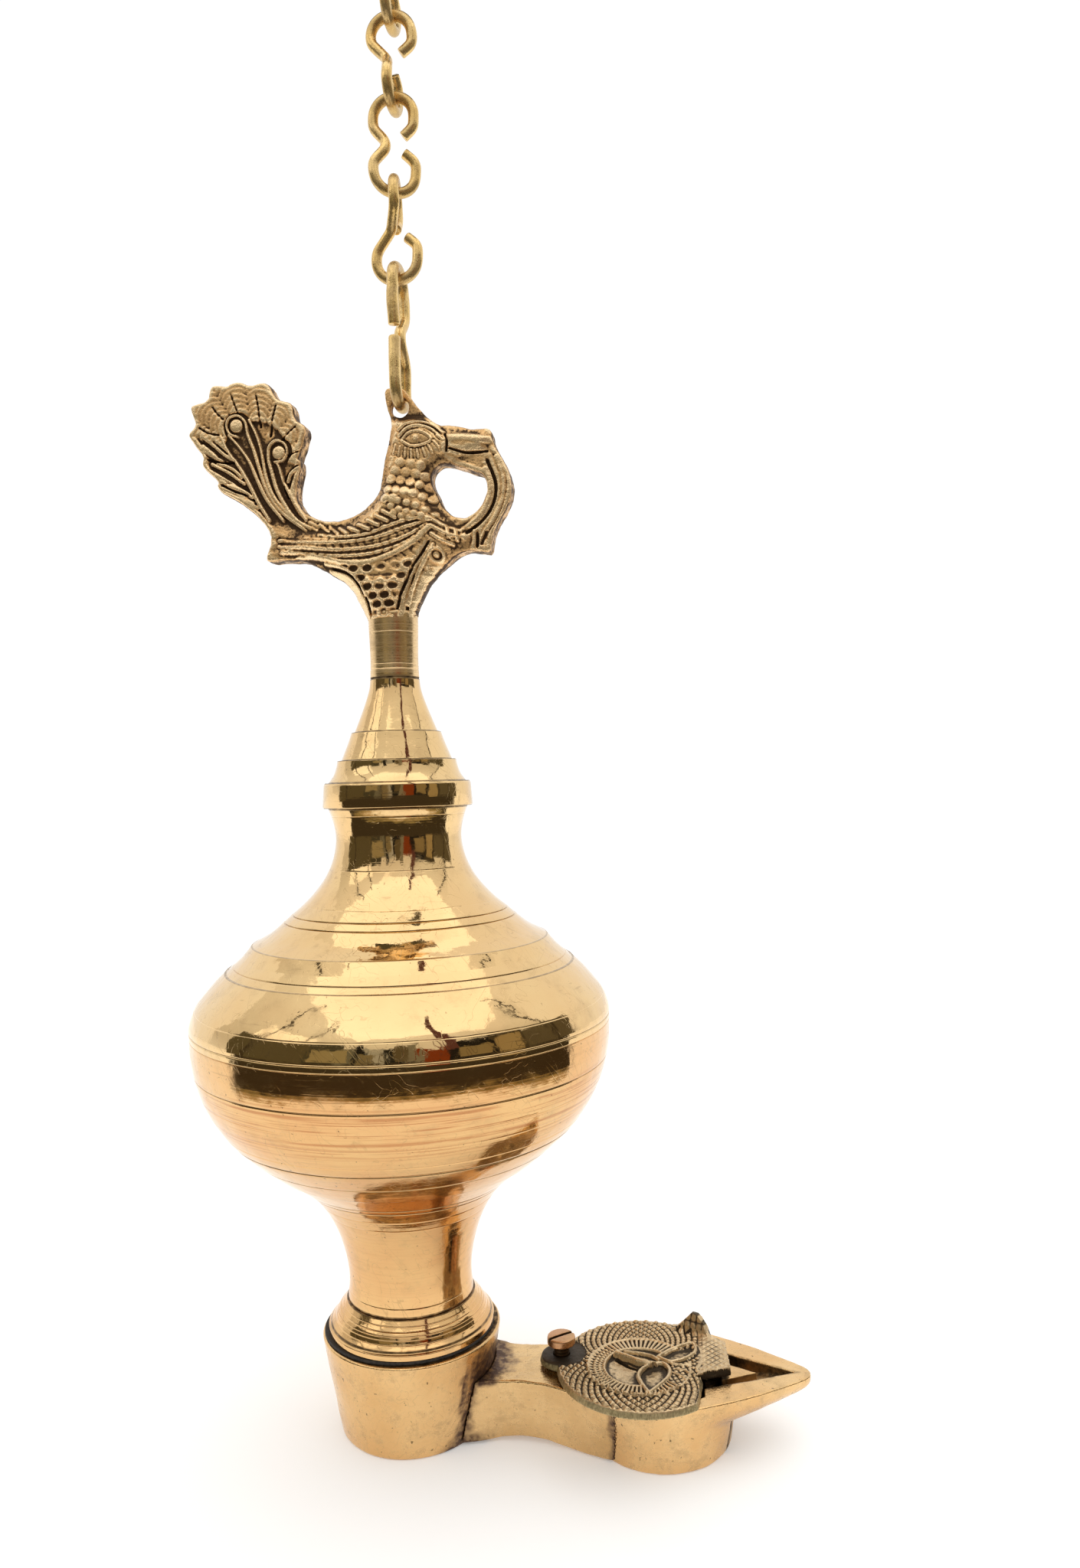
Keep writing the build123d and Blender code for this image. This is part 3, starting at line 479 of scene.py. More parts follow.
def bird_relief(X, Z, d_out, w_body, w_head):
    """Height of the casting's relief over its plain thickness."""
    R = np.zeros(X.shape)
    tail = sstep(-21.0, -25.0, X) * sstep(224.0, 229.0, Z + 0.35 * (X + 30))
    # the feather fan: lobes split by grooves, each crossed by small steps
    fx, fz = -34.6, 245.2
    rr = np.hypot(X - fx, Z - fz)
    th = np.degrees(np.arctan2(Z - fz, X - fx))
    fan = tail * sstep(8.2, 9.2, rr) * sstep(-20, -8, th) * sstep(166, 156, th)
    # the two scroll curls stand clear of the feathers on sunk ground
    fan = fan * sstep(3.3, 4.1, np.hypot(X + 38.9, Z - 252.7)) * sstep(3.1, 3.9, np.hypot(X + 28.1, Z - 245.7))
    edges = [-25, 13, 42, 67, 96, 121, 147, 175]
    bars = np.zeros(X.shape)
    for a, b in zip(edges[:-1], edges[1:]):
        m = (th >= a) & (th < b)
        u = np.clip((th - a) / (b - a) * 2 - 1, -1, 1)
        ph = (rr + 1.5 * u * u + 0.25 * vnoise(X * 0.35, Z * 0.35, X * 0, 3)) / 1.42
        s = np.mod(ph, 1.0)
        saw = np.where(s < 0.72, s / 0.72, (1 - s) / 0.28)
        bars = np.where(m, 0.62 * saw * (1 - 0.55 * u ** 4) + 0.42 * (1 - u * u), bars)
    R += fan * (bars * 0.78 - 0.12)
    # plain rim of the fan and of the leaves, and a sunk ground under the ribs
    rim = sstep(1.5, 0.5, d_out) * tail
    R += rim * (0.28 - 0.4 * R * (R > 0))
    ground = tail * (1 - fan) * sstep(0.9, 2.0, d_out)
    R -= 0.62 * ground
    for name, (wd, h, lines) in BIRD_RELIEF.items():
        for k, line in enumerate(lines):
            if len(line) == 1:
                x, z = line[0]
                if name == "tail_beads":
                    d = np.hypot(X - x, Z - z)
                    R = np.where(d < 1.75, np.maximum(R, -0.35 + 1.25 * np.sqrt(np.clip(1 - (d / 1.75) ** 2, 0, 1))), R)
                elif name == "neck_scales":
                    d = np.hypot((X - x) / 1.12, (Z - z + 0.12) / 1.02)
                    c = 1.05 + 0.12 * math.sin(k * 2.3)
                    R = np.maximum(R, np.where(d < 1.25, h * c * np.clip(1 - (d / 1.25) ** 2, 0, 1) ** 0.7, -9))
                elif name == "collar_scales":
                    d = np.hypot((X - x) / 0.95, (Z - z) / 0.85)
                    R = np.maximum(R, np.where(d < 1.1, h * np.clip(1 - (d / 1.1) ** 2, 0, 1) ** 0.8, -9))
                elif name == "skirt_scales":
                    u, v = (X - x) / 1.62, (Z - z) / 1.12
                    d = np.hypot(u, v)
                    ring = np.exp(-((d - 1.0) / 0.24) ** 2) * (0.65 + 0.35 * np.clip(-v, -1, 1))
                    pit = np.clip(1 - (d / 0.82) ** 2, 0, 1)
                    R = R + np.where(d < 1.8, h * 0.75 * ring - 0.62 * pit ** 0.6 * (0.6 + 0.4 * math.sin(k * 1.7)), 0)
                elif name == "rosette":
                    d = np.hypot(X - x, Z - z)
                    R += np.exp(-((d - 1.55) / 0.32) ** 2) * h + 0.35 * np.exp(-(d / 0.6) ** 2) - 0.25 * np.exp(-((d - 0.95) / 0.3) ** 2)
                else:
                    d = np.hypot(X - x, Z - z)
                    R += h * np.clip(1 - (d / 0.85) ** 2, 0, 1) ** 0.7
                continue
            p = smooth_line(line)
            x0 = min(a for a, _ in p) - 3; x1 = max(a for a, _ in p) + 3
            z0 = min(b for _, b in p) - 3; z1 = max(b for _, b in p) + 3
            m = (X > x0) & (X < x1) & (Z > z0) & (Z < z1)
            i = np.where(m.any(1))[0]; j = np.where(m.any(0))[0]
            if not len(i) or not len(j):
                continue
            sl = (slice(i[0], i[-1] + 1), slice(j[0], j[-1] + 1))
            d, s = seg_dist(X[sl], Z[sl], p)
            L = sum(math.dist(a, b) for a, b in zip(p[:-1], p[1:]))
            w0 = wd
            if name == "tail_ribs":
                t = np.clip(s / L, 0, 1)
                wv = w0 * (0.85 + 0.35 * np.sin(np.pi * np.clip(t * 1.3, 0, 1))) * (1 - 0.25 * t)
                prof = bump(d, wv)
                R[sl] = np.where(d < wv, np.maximum(R[sl], -0.62 + (h + 0.62) * prof), R[sl])
            elif h > 0:
                amp = h * (0.75 + 0.35 * vnoise(s * 0.6, np.full_like(s, k * 3.1), np.zeros_like(s), 5))
                if name.startswith("wing_ridges"):
                    amp = amp * (0.72 + 0.38 * np.sign(np.sin(s * 2.55 + k * 1.3)) * np.abs(np.sin(s * 2.55 + k * 1.3)) ** 0.5)
                if name == "loop_ribs" and k in (0, 2):
                    amp = amp * (0.72 + 0.3 * np.sin(s * 2.1 + k))
                base = R[sl]
                R[sl] = np.where(d < w0, np.maximum(base, base * 0.3 + amp * bump(d, w0)), base)
                halo = np.exp(-((d - w0 * 1.35) / (w0 * 0.45)) ** 2)
                R[sl] -= 0.16 * halo * (0.0 if name in ("beak_upper", "beak_lower", "wing_edge", "crest") else 1.0)
            else:
                R[sl] += h * bump(d, w0) * sstep(0, 0.8, s + 0.3)
    # rope of oblique lobes along the rump, and barbs between the wing's ridges
    wing, s = seg_dist(X, Z, smooth_line([(-29.0, 219.4), (-20.5, 218.9), (-13.0, 217.8), (-3.6, 217.9), (4.6, 219.9), (10.0, 223.0)]))
    zone = sstep(5.4, 4.2, wing) * (Z > 216.5) * sstep(11.2, 10.0, X)
    R -= zone * 0.13 * np.clip(np.sin(s * 2.9 + 1.1 * np.sin(Z * 2.2)), 0, 1) ** 2
    # cast skin: shallow pits and hammered unevenness
    wild = (1 - sstep(0.5, 0.9, w_head * (X > 15.5) * (Z > 236))) * 1.0
    R += 0.075 * fbm(X * 0.9, Z * 0.9, X * 0 + 1.7, 3, 11) * (0.5 + 0.5 * wild)
    pits = fbm(X * 1.9, Z * 1.9, X * 0 + 4.2, 2, 23)
    R -= 0.20 * np.clip(pits - 0.55, 0, 1) * wild
    return R


def make_bird(mat):
    h = 0.21
    xs = np.arange(-53.4, 32.6, h)
    zs = np.arange(201.0 - h, 265.0, h)
    X, Z = np.meshgrid(xs, zs, indexing="ij")
    outl = chaikin(OUTLINE, 1)
    d = sdf(X, Z, outl)
    dh = sdf(X, Z, chaikin(BEAK_HOLE, 2))
    d = np.minimum(d, -dh)
    d = d + 0.10 * fbm(X * 0.55, Z * 0.55, X * 0, 2, 31) * sstep(3, 0, np.abs(d))
    lug = np.hypot(X - 3.5, Z - 254.9)
    d = smin(d, lug - 2.45, 0.5)
    sb = sdf(X, Z, BODY_PAD); sh = sdf(X, Z, HEAD_PAD)
    w_body = sstep(-2.6, 2.4, sb)
    w_head = sstep(-1.6, 1.6, sh) * (1 - w_body)
    din = np.clip(d, 0, 50)

    def dome(H, R0, lo):
        t = np.clip(din / R0, 0, 1)
        return lo + (H - lo) * np.sqrt(np.clip(1 - (1 - t) ** 2, 0, 1))
    plate = dome(2.7, 0.9, 2.1)
    body = dome(5.9, 6.5, 1.6)
    head = dome(4.05, 4.2, 1.2)
    T = plate * (1 - w_body) * (1 - w_head) + body * w_body + head * w_head * (1 - w_body)
    # the skirt runs down into the round stem
    col = np.where(d > 0, X, np.nan)
    with np.errstate(all="ignore"):
        zi = (Z[0] >= 198) & (Z[0] < 218)
        m = np.abs(X) < 16
        c0 = np.nanmin(np.where(m, col, np.nan), axis=0); c1 = np.nanmax(np.where(m, col, np.nan), axis=0)
    c0 = np.where(np.isfinite(c0), c0, -6.3); c1 = np.where(np.isfinite(c1), c1, 6.3)
    xc, hw = (c0 + c1) / 2, np.maximum((c1 - c0) / 2, 1)
    Rz = np.interp(zs, [199, 202, 205, 208.5, 212, 216, 220], [6.15, 6.25, 6.5, 6.9, 7.0, 6.6, 6.0])
    circ = Rz[None, :] * np.sqrt(np.clip(1 - ((X - xc[None, :]) / hw[None, :]) ** 2, 0, 1))
    k = sstep(217.5, 210.0, Z) * sstep(-22, -12, X) * sstep(22, 14, X)
    T = T * (1 - k) + circ * k
    # crest and lug are thin, so that the hook clears them
    thin = sstep(250.0, 252.6, Z) * sstep(-6, -3, X) * sstep(20, 13, X)
    T = T * (1 - thin) + np.minimum(T, 1.35) * thin
    loopz = sstep(20.0, 23.5, X)
    T = T + loopz * (1 - w_head) * 0.10
    R = bird_relief(X, Z, d, w_body, w_head)
    fade = sstep(0.0, 0.8, d) * (1 - 0.8 * thin) * sstep(201.2, 203.0, Z)
    T = T + 1.22 * R * fade
    cap_t = 2.75 + (6.15 - 2.75) * np.maximum(w_body, k) + (4.15 - 2.75) * w_head
    cap_t = np.where(Z < 219, np.maximum(cap_t, 7.6 * k), cap_t)
    T = np.where(T > cap_t, cap_t + (T - cap_t) * 0.25, T)
    T = np.minimum(T, 7.7)
    ys = np.arange(-8.2, 8.2 + h, h)
    side_n = 0.12 * fbm(X[:, None, :] * 0.5 + 0 * ys[None, :, None], ys[None, :, None] * 0.9 + 0 * X[:, None, :], Z[:, None, :] * 0.5 + 0 * ys[None, :, None], 2, 41)
    back_n = 0.05 * vnoise(X * 0.5, Z * 0.5, X * 0 + 9, 51)
    F = np.empty((len(xs), len(ys), len(zs)), np.float32)
    for j, y in enumerate(ys):
        t = T + (back_n if y > 0 else 0) - abs(y)
        F[:, j, :] = smin(t, (d + side_n[:, j, :]) * 1.0, 0.45)
    zmin = (Z - 201.6)
    for j in range(len(ys)):
        F[:, j, :] = np.minimum(F[:, j, :], zmin)
    v, q = surface_net(F, (xs[0], ys[0], zs[0]), h)
    v = relax(v, q, 1, 0.35)
    # recesses, for the dark patina; high places, for a painted highlight; the casting's sides and the lower right of
    # the skirt are made darker as well
    cav = blur(T, max(1, int(0.55 / h))) - T
    wide = blur(T, max(1, int(1.4 / h))) - T
    fi = np.clip((v[:, 0] - xs[0]) / h, 0, len(xs) - 2); fj = np.clip((v[:, 2] - zs[0]) / h, 0, len(zs) - 2)
    i, j = fi.astype(int), fj.astype(int); a, b = fi - i, fj - j

    def samp(A):
        return (A[i, j] * (1 - a) * (1 - b) + A[i + 1, j] * a * (1 - b) + A[i, j + 1] * (1 - a) * b + A[i + 1, j + 1] * a * b)
    onface = sstep(0.55, 0.15, samp(T) - np.abs(v[:, 1]))
    c = samp(cav) * 2.6 + samp(wide) * 1.1
    side = 1 - onface
    c = c * onface + side * (0.35 + 0.35 * fbm(v[:, 0] * 0.5, v[:, 1] * 0.7, v[:, 2] * 0.5, 2, 61))
    c = c + 0.25 * sstep(2, 14, v[:, 0]) * sstep(215, 204, v[:, 2])
    ob = mesh_from("bird_casting", v, q, mat, attrs={"cavity": c})
    return ob


# ------------------------------------------------------------------ turned pieces
def dense(pts, step=0.9):
    """Smooth curve through (r, z) points, sampled evenly enough for a lathe."""
    return [tuple(p[:2]) for p in spline([(a, b, 0) for a, b in pts], step)]


def straight(a, b, n=1):
    return [tuple(np.array(a) + (np.array(b) - np.array(a)) * t) for t in np.linspace(0, 1, n + 1)]


def make_turned(name, parts, mat, n=256, bevel=0.16, wob=0.02, seed=1, centre=(0, 0)):
    v, q, t = lathe(section(parts, bevel), n=n, closed=True, wob=wob, seed=seed, centre=centre)
    ob = mesh_from(name, v, q, mat, tris=t if len(t) else None)
    return fix_normals(ob)


def fix_normals(ob):
    """Outward faces, judged by the mesh's signed volume."""
    me = ob.data
    me.calc_loop_triangles()
    co = np.empty(len(me.vertices) * 3, np.float32)
    me.vertices.foreach_get("co", co)
    co = co.reshape(-1, 3).astype(float)
    tri = np.empty(len(me.loop_triangles) * 3, np.int32)
    me.loop_triangles.foreach_get("vertices", tri)
    a, b, c = (co[tri.reshape(-1, 3)[:, i]] for i in range(3))
    if np.einsum("ij,ij->i", a, np.cross(b, c)).sum() < 0:
        me.flip_normals()
    return ob


def bowl_parts():
    a = dense([(15.72, 32.2), (15.4, 37.0), (15.7, 41.0), (16.5, 45.0), (17.7, 49.0), (19.4, 53.0), (21.4, 56.5),
               (24.4, 60.4), (29.0, 64.4), (32.5, 67.2)])
    b = dense([(33.1, 67.2), (36.5, 70.0), (40.2, 73.3), (43.8, 77.0), (47.2, 82.0), (49.6, 87.0), (51.1, 92.0),
               (51.8, 96.5), (51.97, 101.0)])
    a = cut_grooves(a, [(61.1, 0.42, 0.30), (62.4, 0.40, 0.26), (34.6, 0.3, 0.04), (55.2, 0.5, 0.04), (58.0, 0.4, 0.05)])
    b = cut_grooves(b, [(71.8, 0.5, 0.20), (72.6, 0.3, -0.05), (76.5, 0.6, 0.22), (77.3, 0.4, -0.06), (78.9, 0.4, 0.07),
                        (83.6, 0.5, 0.04), (87.4, 0.5, 0.05), (92.4, 0.34, 0.14)])
    inner = dense([(49.2, 101.0), (48.8, 95.0), (47.2, 89.0), (43.8, 82.3), (38.2, 75.4), (30.2, 68.9), (22.6, 62.8),
                   (16.6, 56.8), (14.0, 50.6), (12.6, 44.0), (12.4, 38.0), (12.4, 32.2)], 2.0)
    return [a, [tuple(a[-1]), tuple(b[0])], b, [tuple(b[-1]), inner[0]], inner, [inner[-1], tuple(a[0])]]


def shoulder_parts():
    a = dense([(51.97, 101.0), (51.93, 103.4), (51.3, 105.6), (50.2, 107.9), (48.2, 110.4), (45.9, 113.0), (43.3, 115.5)])
    b = dense([(42.9, 115.5), (41.3, 116.9), (39.3, 118.7)])
    b2 = dense([(39.2, 118.8), (38.1, 120.1), (36.9, 121.6)])
    c = dense([(36.5, 121.7), (32.4, 124.0), (27.6, 128.0), (23.0, 132.0), (18.9, 137.0), (16.6, 142.0),
               (15.75, 147.0), (16.3, 151.0), (17.5, 154.6)])
    a = cut_grooves(a, [(102.5, 0.42, 0.22), (103.4, 0.7, -0.16), (107.1, 0.26, 0.05)])
    b = cut_grooves(b, [(116.9, 0.36, 0.20)])
    c = cut_grooves(c, [(126.9, 0.42, 0.32), (128.6, 0.42, 0.32), (131.0, 0.3, 0.04), (139.6, 0.3, 0.04), (152.6, 0.3, 0.06)])
    inner = dense([(14.6, 154.6), (13.2, 150.0), (13.0, 146.0), (14.2, 141.0), (16.8, 135.4), (22.2, 129.2),
                   (29.2, 123.4), (36.2, 117.7), (42.6, 111.3), (47.2, 106.2), (49.0, 103.2), (49.2, 101.0)], 2.0)
    return [a, [tuple(a[-1]), tuple(b[0])], b, [tuple(b[-1]), tuple(b2[0])], b2, [tuple(b2[-1]), tuple(c[0])], c,
            [tuple(c[-1]), inner[0]], inner, [inner[-1], tuple(a[0])]]


def cap_parts():
    lo = dense([(17.2, 160.9), (15.9, 162.9), (15.2, 164.9), (14.9, 166.4)], 0.4)
    mid = dense([(13.9, 166.4), (13.2, 168.2), (12.0, 171.2), (11.25, 173.4)], 0.4)
    hi = dense([(10.5, 173.4), (9.2, 176.6), (7.6, 180.8), (6.5, 184.4), (6.2, 186.8)], 0.5)
    return [[(14.6, 154.6), (18.6, 154.6)], [(18.6, 154.6), (18.82, 155.0), (18.45, 160.3)],
            [(18.45, 160.3), (18.1, 160.9)], [(18.1, 160.9), (17.2, 160.9)], lo, [lo[-1], mid[0]], mid,
            [mid[-1], hi[0]], hi, [hi[-1], (3.0, 186.8)], [(3.0, 186.8), (3.0, 172.0)], [(3.0, 172.0), (8.4, 168.0)],
            [(8.4, 168.0), (11.0, 163.5)], [(11.0, 163.5), (11.0, 150.6)], [(11.0, 150.6), (12.9, 150.6)],
            [(12.9, 150.6), (12.9, 154.6)], [(12.9, 154.6), (14.6, 154.6)]]


def collar_parts():
    bead = dense([(16.15, 31.95), (16.5, 31.5), (17.2, 30.6), (18.05, 29.6), (18.6, 28.7), (19.0, 27.9), (19.55, 27.2),
                  (20.05, 26.7)], 0.35)
    bead = cut_grooves(bead, [(31.0, 0.22, 0.06), (30.1, 0.24, 0.07), (29.3, 0.2, 0.05), (28.6, 0.22, 0.06), (27.7, 0.2, 0.05)])
    return [[(15.3, 32.2), (16.0, 32.2)], [(16.0, 32.2), (16.15, 31.95)], bead, [tuple(bead[-1]), (20.05, 26.45), (20.7, 26.05)],
            [(20.7, 26.05), (20.78, 24.8)], [(20.78, 24.8), (13.9, 24.8)], [(13.9, 24.8), (13.9, 22.6)],
            [(13.9, 22.6), (13.45, 22.1)], [(13.45, 22.1), (13.9, 21.6)], [(13.9, 21.6), (13.9, 20.6)],
            [(13.9, 20.6), (13.45, 20.1)], [(13.45, 20.1), (13.9, 19.6)], [(13.9, 19.6), (13.9, 18.6)],
            [(13.9, 18.6), (13.45, 18.1)], [(13.45, 18.1), (13.9, 17.6)], [(13.9, 17.6), (13.9, 16.8)],
            [(13.9, 16.8), (13.1, 16.0)], [(13.1, 16.0), (5.0, 16.0)], [(5.0, 16.0), (5.0, 26.0)],
            [(5.0, 26.0), (8.0, 30.0)], [(8.0, 30.0), (10.4, 36.0)], [(10.4, 36.0), (12.35, 36.0)],
            [(12.35, 36.0), (12.35, 32.2)], [(12.35, 32.2), (15.3, 32.2)]]


def make_stem(mat):
    s = dense([(6.15, 187.1), (6.0, 191.0), (6.1, 196.0), (6.22, 200.0), (6.22, 203.4)], 0.8)
    s = cut_grooves(s, [(189.2, 0.35, 0.10), (190.4, 0.3, 0.06), (198.4, 0.25, 0.05)])
    pts = [(0.0, 180.2), (2.8, 180.2), (2.95, 180.4), (2.95, 186.75), (3.1, 186.82), (5.75, 186.82), (5.98, 186.88), (6.12, 187.05)]
    pts = pts + [tuple(p) for p in s] + [(6.1, 203.5), (0.0, 203.5)]
    v, q, t = lathe(pts, n=128, closed=False, wob=0.015, seed=9)
    return fix_normals(mesh_from("bird_stem", v, q, mat, tris=t))


# ------------------------------------------------------------------ base casting
def box_round(X, Y, hx, hy, r):
    qx, qy = np.abs(X) - hx + r, np.abs(Y) - hy + r
    return -(np.hypot(np.maximum(qx, 0), np.maximum(qy, 0)) + np.minimum(np.maximum(qx, qy), 0) - r)


def cone_sdf(X, Y, Z, cx, r0, r1, z0, z1):
    """Distance inside a cone frustum, positive inside, top and bottom not included."""
    r = np.hypot(X - cx, Y)
    R = r0 + (r1 - r0) * (Z - z0) / (z1 - z0)
    return (R - r) * math.cos(math.atan((r1 - r0) / (z1 - z0)))


NOSE_X = [60.0, 66.0, 73.0, 80.0, 86.0, 91.5, 95.0, 97.0, 98.05, 98.4]
NOSE_W = [18.6, 18.3, 16.7, 13.5, 10.2, 6.7, 4.3, 2.75, 1.4, 0.0]
NOSE_D = [13.6, 13.0, 11.4, 9.2, 7.2, 5.3, 4.1, 3.2, 2.3, 1.2]


def nose_field(X, Y, Z):
    W = np.interp(X, NOSE_X, NOSE_W)
    D = np.interp(X, NOSE_X, NOSE_D)
    dz = (16.0 - Z)
    # the section is a deep bowl: full width at the top, round at the keel
    t = np.clip(dz / np.maximum(D, 0.1), -0.5, 1.2)
    half = W * np.sqrt(np.clip(1 - np.clip(t, 0, 1) ** 2.1, 0, 1)) * (1 + 0.0 * t)
    f = (half - np.abs(Y)) * 0.62
    f = np.minimum(f, (D - dz) * 0.75)
    return f


def make_pan(mat):
    h = 0.27
    xs = np.arange(41.2, 99.4, h); ys = np.arange(-20.6, 20.6 + h, h); zs = np.arange(-0.9, 17.2, h)
    X, Y, Z = np.meshgrid(xs, ys, zs, indexing="ij")
    drum = cone_sdf(X, Y, Z, 62.0, 17.1, 19.55, 0, 16)
    F = -smin(-drum, -np.where(X > 58, nose_field(X, Y, Z), -9), 0.9)
    F = smin(F, 15.98 - Z, 0.22)
    F = smin(F, Z - 0.02, 0.5)
    # bowl of the pan
    r = np.hypot(X - 62.0, Y)
    Rc = np.interp(Z, [2.0, 2.6, 4.0, 16.0, 18.0], [12.0, 14.0, 15.4, 16.3, 16.4])
    cav = np.minimum(np.minimum((Rc - r), (Z - 2.0)), 72.9 - X)
    F = smin(F, -cav, 0.35)
    # wick trough: V in plan, rising floor, filed by hand so the edges wander a little
    wob = 0.16 * vnoise(X * 0.5, Y * 0.5, Z * 0.1, 71)
    n = math.hypot(8.8, 21.6)
    tri = np.minimum((8.8 * (94.8 - X) - 21.6 * np.abs(Y)) / n, X - 71.0) + wob * 0.8
    floor = 10.6 + (15.25 - 10.6) * np.clip((X - 72) / 23.0, 0, 1)
    # a narrow groove runs along the foot of both walls
    floor = floor - 0.55 * np.exp(-((tri - 0.55) / 0.4) ** 2)
    tro = np.minimum(tri, (Z - floor) * 0.95)
    n2 = math.hypot(3.9, 8.2)
    rest = np.minimum((3.9 * (85.6 - X) - 8.2 * np.abs(Y)) / n2, (15.35 - Z)) + wob * 0.5
    rest = np.minimum(rest, X - 77.0)
    tro = smin(tro, -rest, 0.2)
    F = smin(F, -tro, 0.22)
    # oil channel
    ch = 2.1 - np.hypot(Y, Z - 6.2)
    F = np.where(X < 52, smin(F, -ch, 0.1), F)
    # hammered, hand filed faces
    out = (r > 16.6) | (X > 78)
    F = F + out * (0.05 * fbm(X * 0.22, Y * 0.22, Z * 0.30, 2, 81) + 0.02 * vnoise(X * 0.9, Y * 0.9, Z * 0.9, 83))
    F = np.minimum(F, 16.0 - Z)
    F = np.minimum(F, Z - 0.0)
    v, q = surface_net(F.astype(np.float32), (xs[0], ys[0], zs[0]), h)
    v = relax(v, q, 1, 0.25)
    v[:, 2] = np.clip(v[:, 2], 0.0, 16.0)
    v[:, 0] = np.minimum(v[:, 0], 98.27)
    x, y, z = v.T
    # soot and oil in the trough, darkest along its walls, partly as painted shade of the walls; flux along the joint to
    # the bridge; painted shade in the corner at the foot of the wick rest; a dark line round the trough's rim, and the
    # inside of the pan made dark
    tri_v = np.minimum((8.8 * (94.8 - x) - 21.6 * np.abs(y)) / n, x - 71.0)
    rest_v = np.minimum((3.9 * (85.6 - x) - 8.2 * np.abs(y)) / n2, x - 77.0)
    nz = fbm(x * 0.8, y * 0.8, z * 0.8, 2, 75)
    low = sstep(15.96, 15.6, z)
    # darker towards the trough's walls: soot, and painted shade of the walls
    soot_and_shade = sstep(-0.2, 0.1, tri_v) * low * np.clip(sstep(1.55 + 0.5 * nz, 0.75, tri_v) + 0.30 + 0.35 * sstep(80.0, 74.0, x), 0, 1)
    soot_and_shade = soot_and_shade * (1 - sstep(-0.15, 0.25, rest_v) * sstep(14.6, 15.2, z) * 0.75)
    # painted shade in the corner at the foot of the wick rest
    soot_and_shade = np.maximum(soot_and_shade, low * 0.75 * np.exp(-((rest_v + 0.25) / 0.35) ** 2) * (x > 77.2))
    soot_and_shade = np.maximum(soot_and_shade, (0.45 + 0.4 * nz) * np.exp(-((tri_v + 0.2) / 0.3) ** 2) * (z > 15.5))
    inside = (np.hypot(x - 62, y) < 16.9) & (z > 1.9) & (z < 15.8)
    soot_and_shade = np.maximum(soot_and_shade, inside * 0.8)
    jr = np.hypot(x - 62.0, y)
    joint = sstep(1.3, 0.0, np.abs(np.abs(np.degrees(np.arctan2(y, x - 62.0))) - 138.5) * jr * math.pi / 180)
    joint = joint * (z < 15.2) * (x < 52) * (0.55 + 0.45 * fbm(x * 0.7, y * 0.7, z * 0.9, 2, 91))
    return mesh_from("wick_pan_cast", v, q, mat, attrs={"soot_and_shade": soot_and_shade, "flux": np.clip(joint, 0, 1)})


BR_X = [12.0, 14.0, 19.0, 23.5, 29.0, 35.0, 40.5, 45.5, 49.0, 52.0, 54.0, 56.0, 58.0]
BR_W = [12.6, 11.7, 10.3, 8.9, 8.5, 9.4, 11.5, 14.2, 15.9, 17.1, 17.8, 18.3, 18.6]


def make_bridge(mat):
    h = 0.27
    xs = np.arange(11.5, 58.5, h); ys = np.arange(-19.4, 19.4 + h, h); zs = np.arange(-0.6, 16.4, h)
    X, Y, Z = np.meshgrid(xs, ys, zs, indexing="ij")
    W = np.interp(X, BR_X, BR_W)
    # the bar leans in with the pan's side as it runs into it
    W = W - 2.9 * (1 - Z / 16) * np.clip((X - 37) / 15, 0, 1) - 0.35 * np.clip(1.0 - Z / 6.0, 0, 1)
    F = (W - np.abs(Y)) * 0.93
    top = 15.08 - 0.25 * np.exp(-((X - 24.5) / 2.2) ** 2) * 0.6
    F = smin(F, top - Z, 0.45)
    arch = np.hypot(X - 31, Z + 60.0) - 61.4
    F = smin(F, arch, 0.7)
    F = smin(F, Z - 0.5, 0.4)
    F = smin(F, -(2.1 - np.hypot(Y, Z - 6.2)), 0.1)
    F = F + 0.06 * fbm(X * 0.22, Y * 0.22, Z * 0.3, 2, 101) + 0.02 * vnoise(X * 0.9, Y * 0.9, Z * 0.9, 103)
    F = np.minimum(F, 15.1 - Z)
    F = np.minimum(F, -cone_sdf(X, Y, Z, 0.0, 18.24, 22.34, 0, 24))
    F = np.minimum(F, -cone_sdf(X, Y, Z, 62.0, 17.14, 19.6, 0, 16))
    F = np.minimum(F, -(2.0 - np.hypot(X - 38.0, Y)) + 0 * Z)
    F = np.where((np.hypot(X - 38, Y) < 2.6) & (Z < 9.0), np.minimum(arch, Z - 0.5), F)
    v, q = surface_net(F.astype(np.float32), (xs[0], ys[0], zs[0]), h)
    v = relax(v, q, 1, 0.25)
    x, y, z = v.T
    v[:, 2] = np.clip(z, 0.5, 15.1)
    # braze flux: a wide dark apron where the bar meets the cup, a thin line at the pan
    rc = np.hypot(x, y) - (18.2 + 4.1 * z / 24)
    n = fbm(x * 0.45, y * 0.45, z * 0.5, 3, 111)
    apron = sstep(6.6 + 2.4 * n, 2.6 + 1.6 * n, rc) * sstep(13.4, 14.7, z)
    edge = sstep(1.5 + 0.8 * n, 0.3 + 0.4 * n, rc)
    foot = sstep(5.2 + 1.6 * n, 1.6 + n, rc) * sstep(3.9, 1.5, z)
    rp = np.hypot(x - 62, y) - (17.1 + 2.5 * z / 16)
    line = sstep(0.9 + 0.4 * n, 0.2, rp) * 0.9
    flux = np.clip(np.maximum.reduce([apron, edge * 0.8, foot, line]), 0, 1)
    return mesh_from("feed_bridge_cast", v, q, mat, attrs={"flux": flux, "soot_and_shade": 0 * flux})


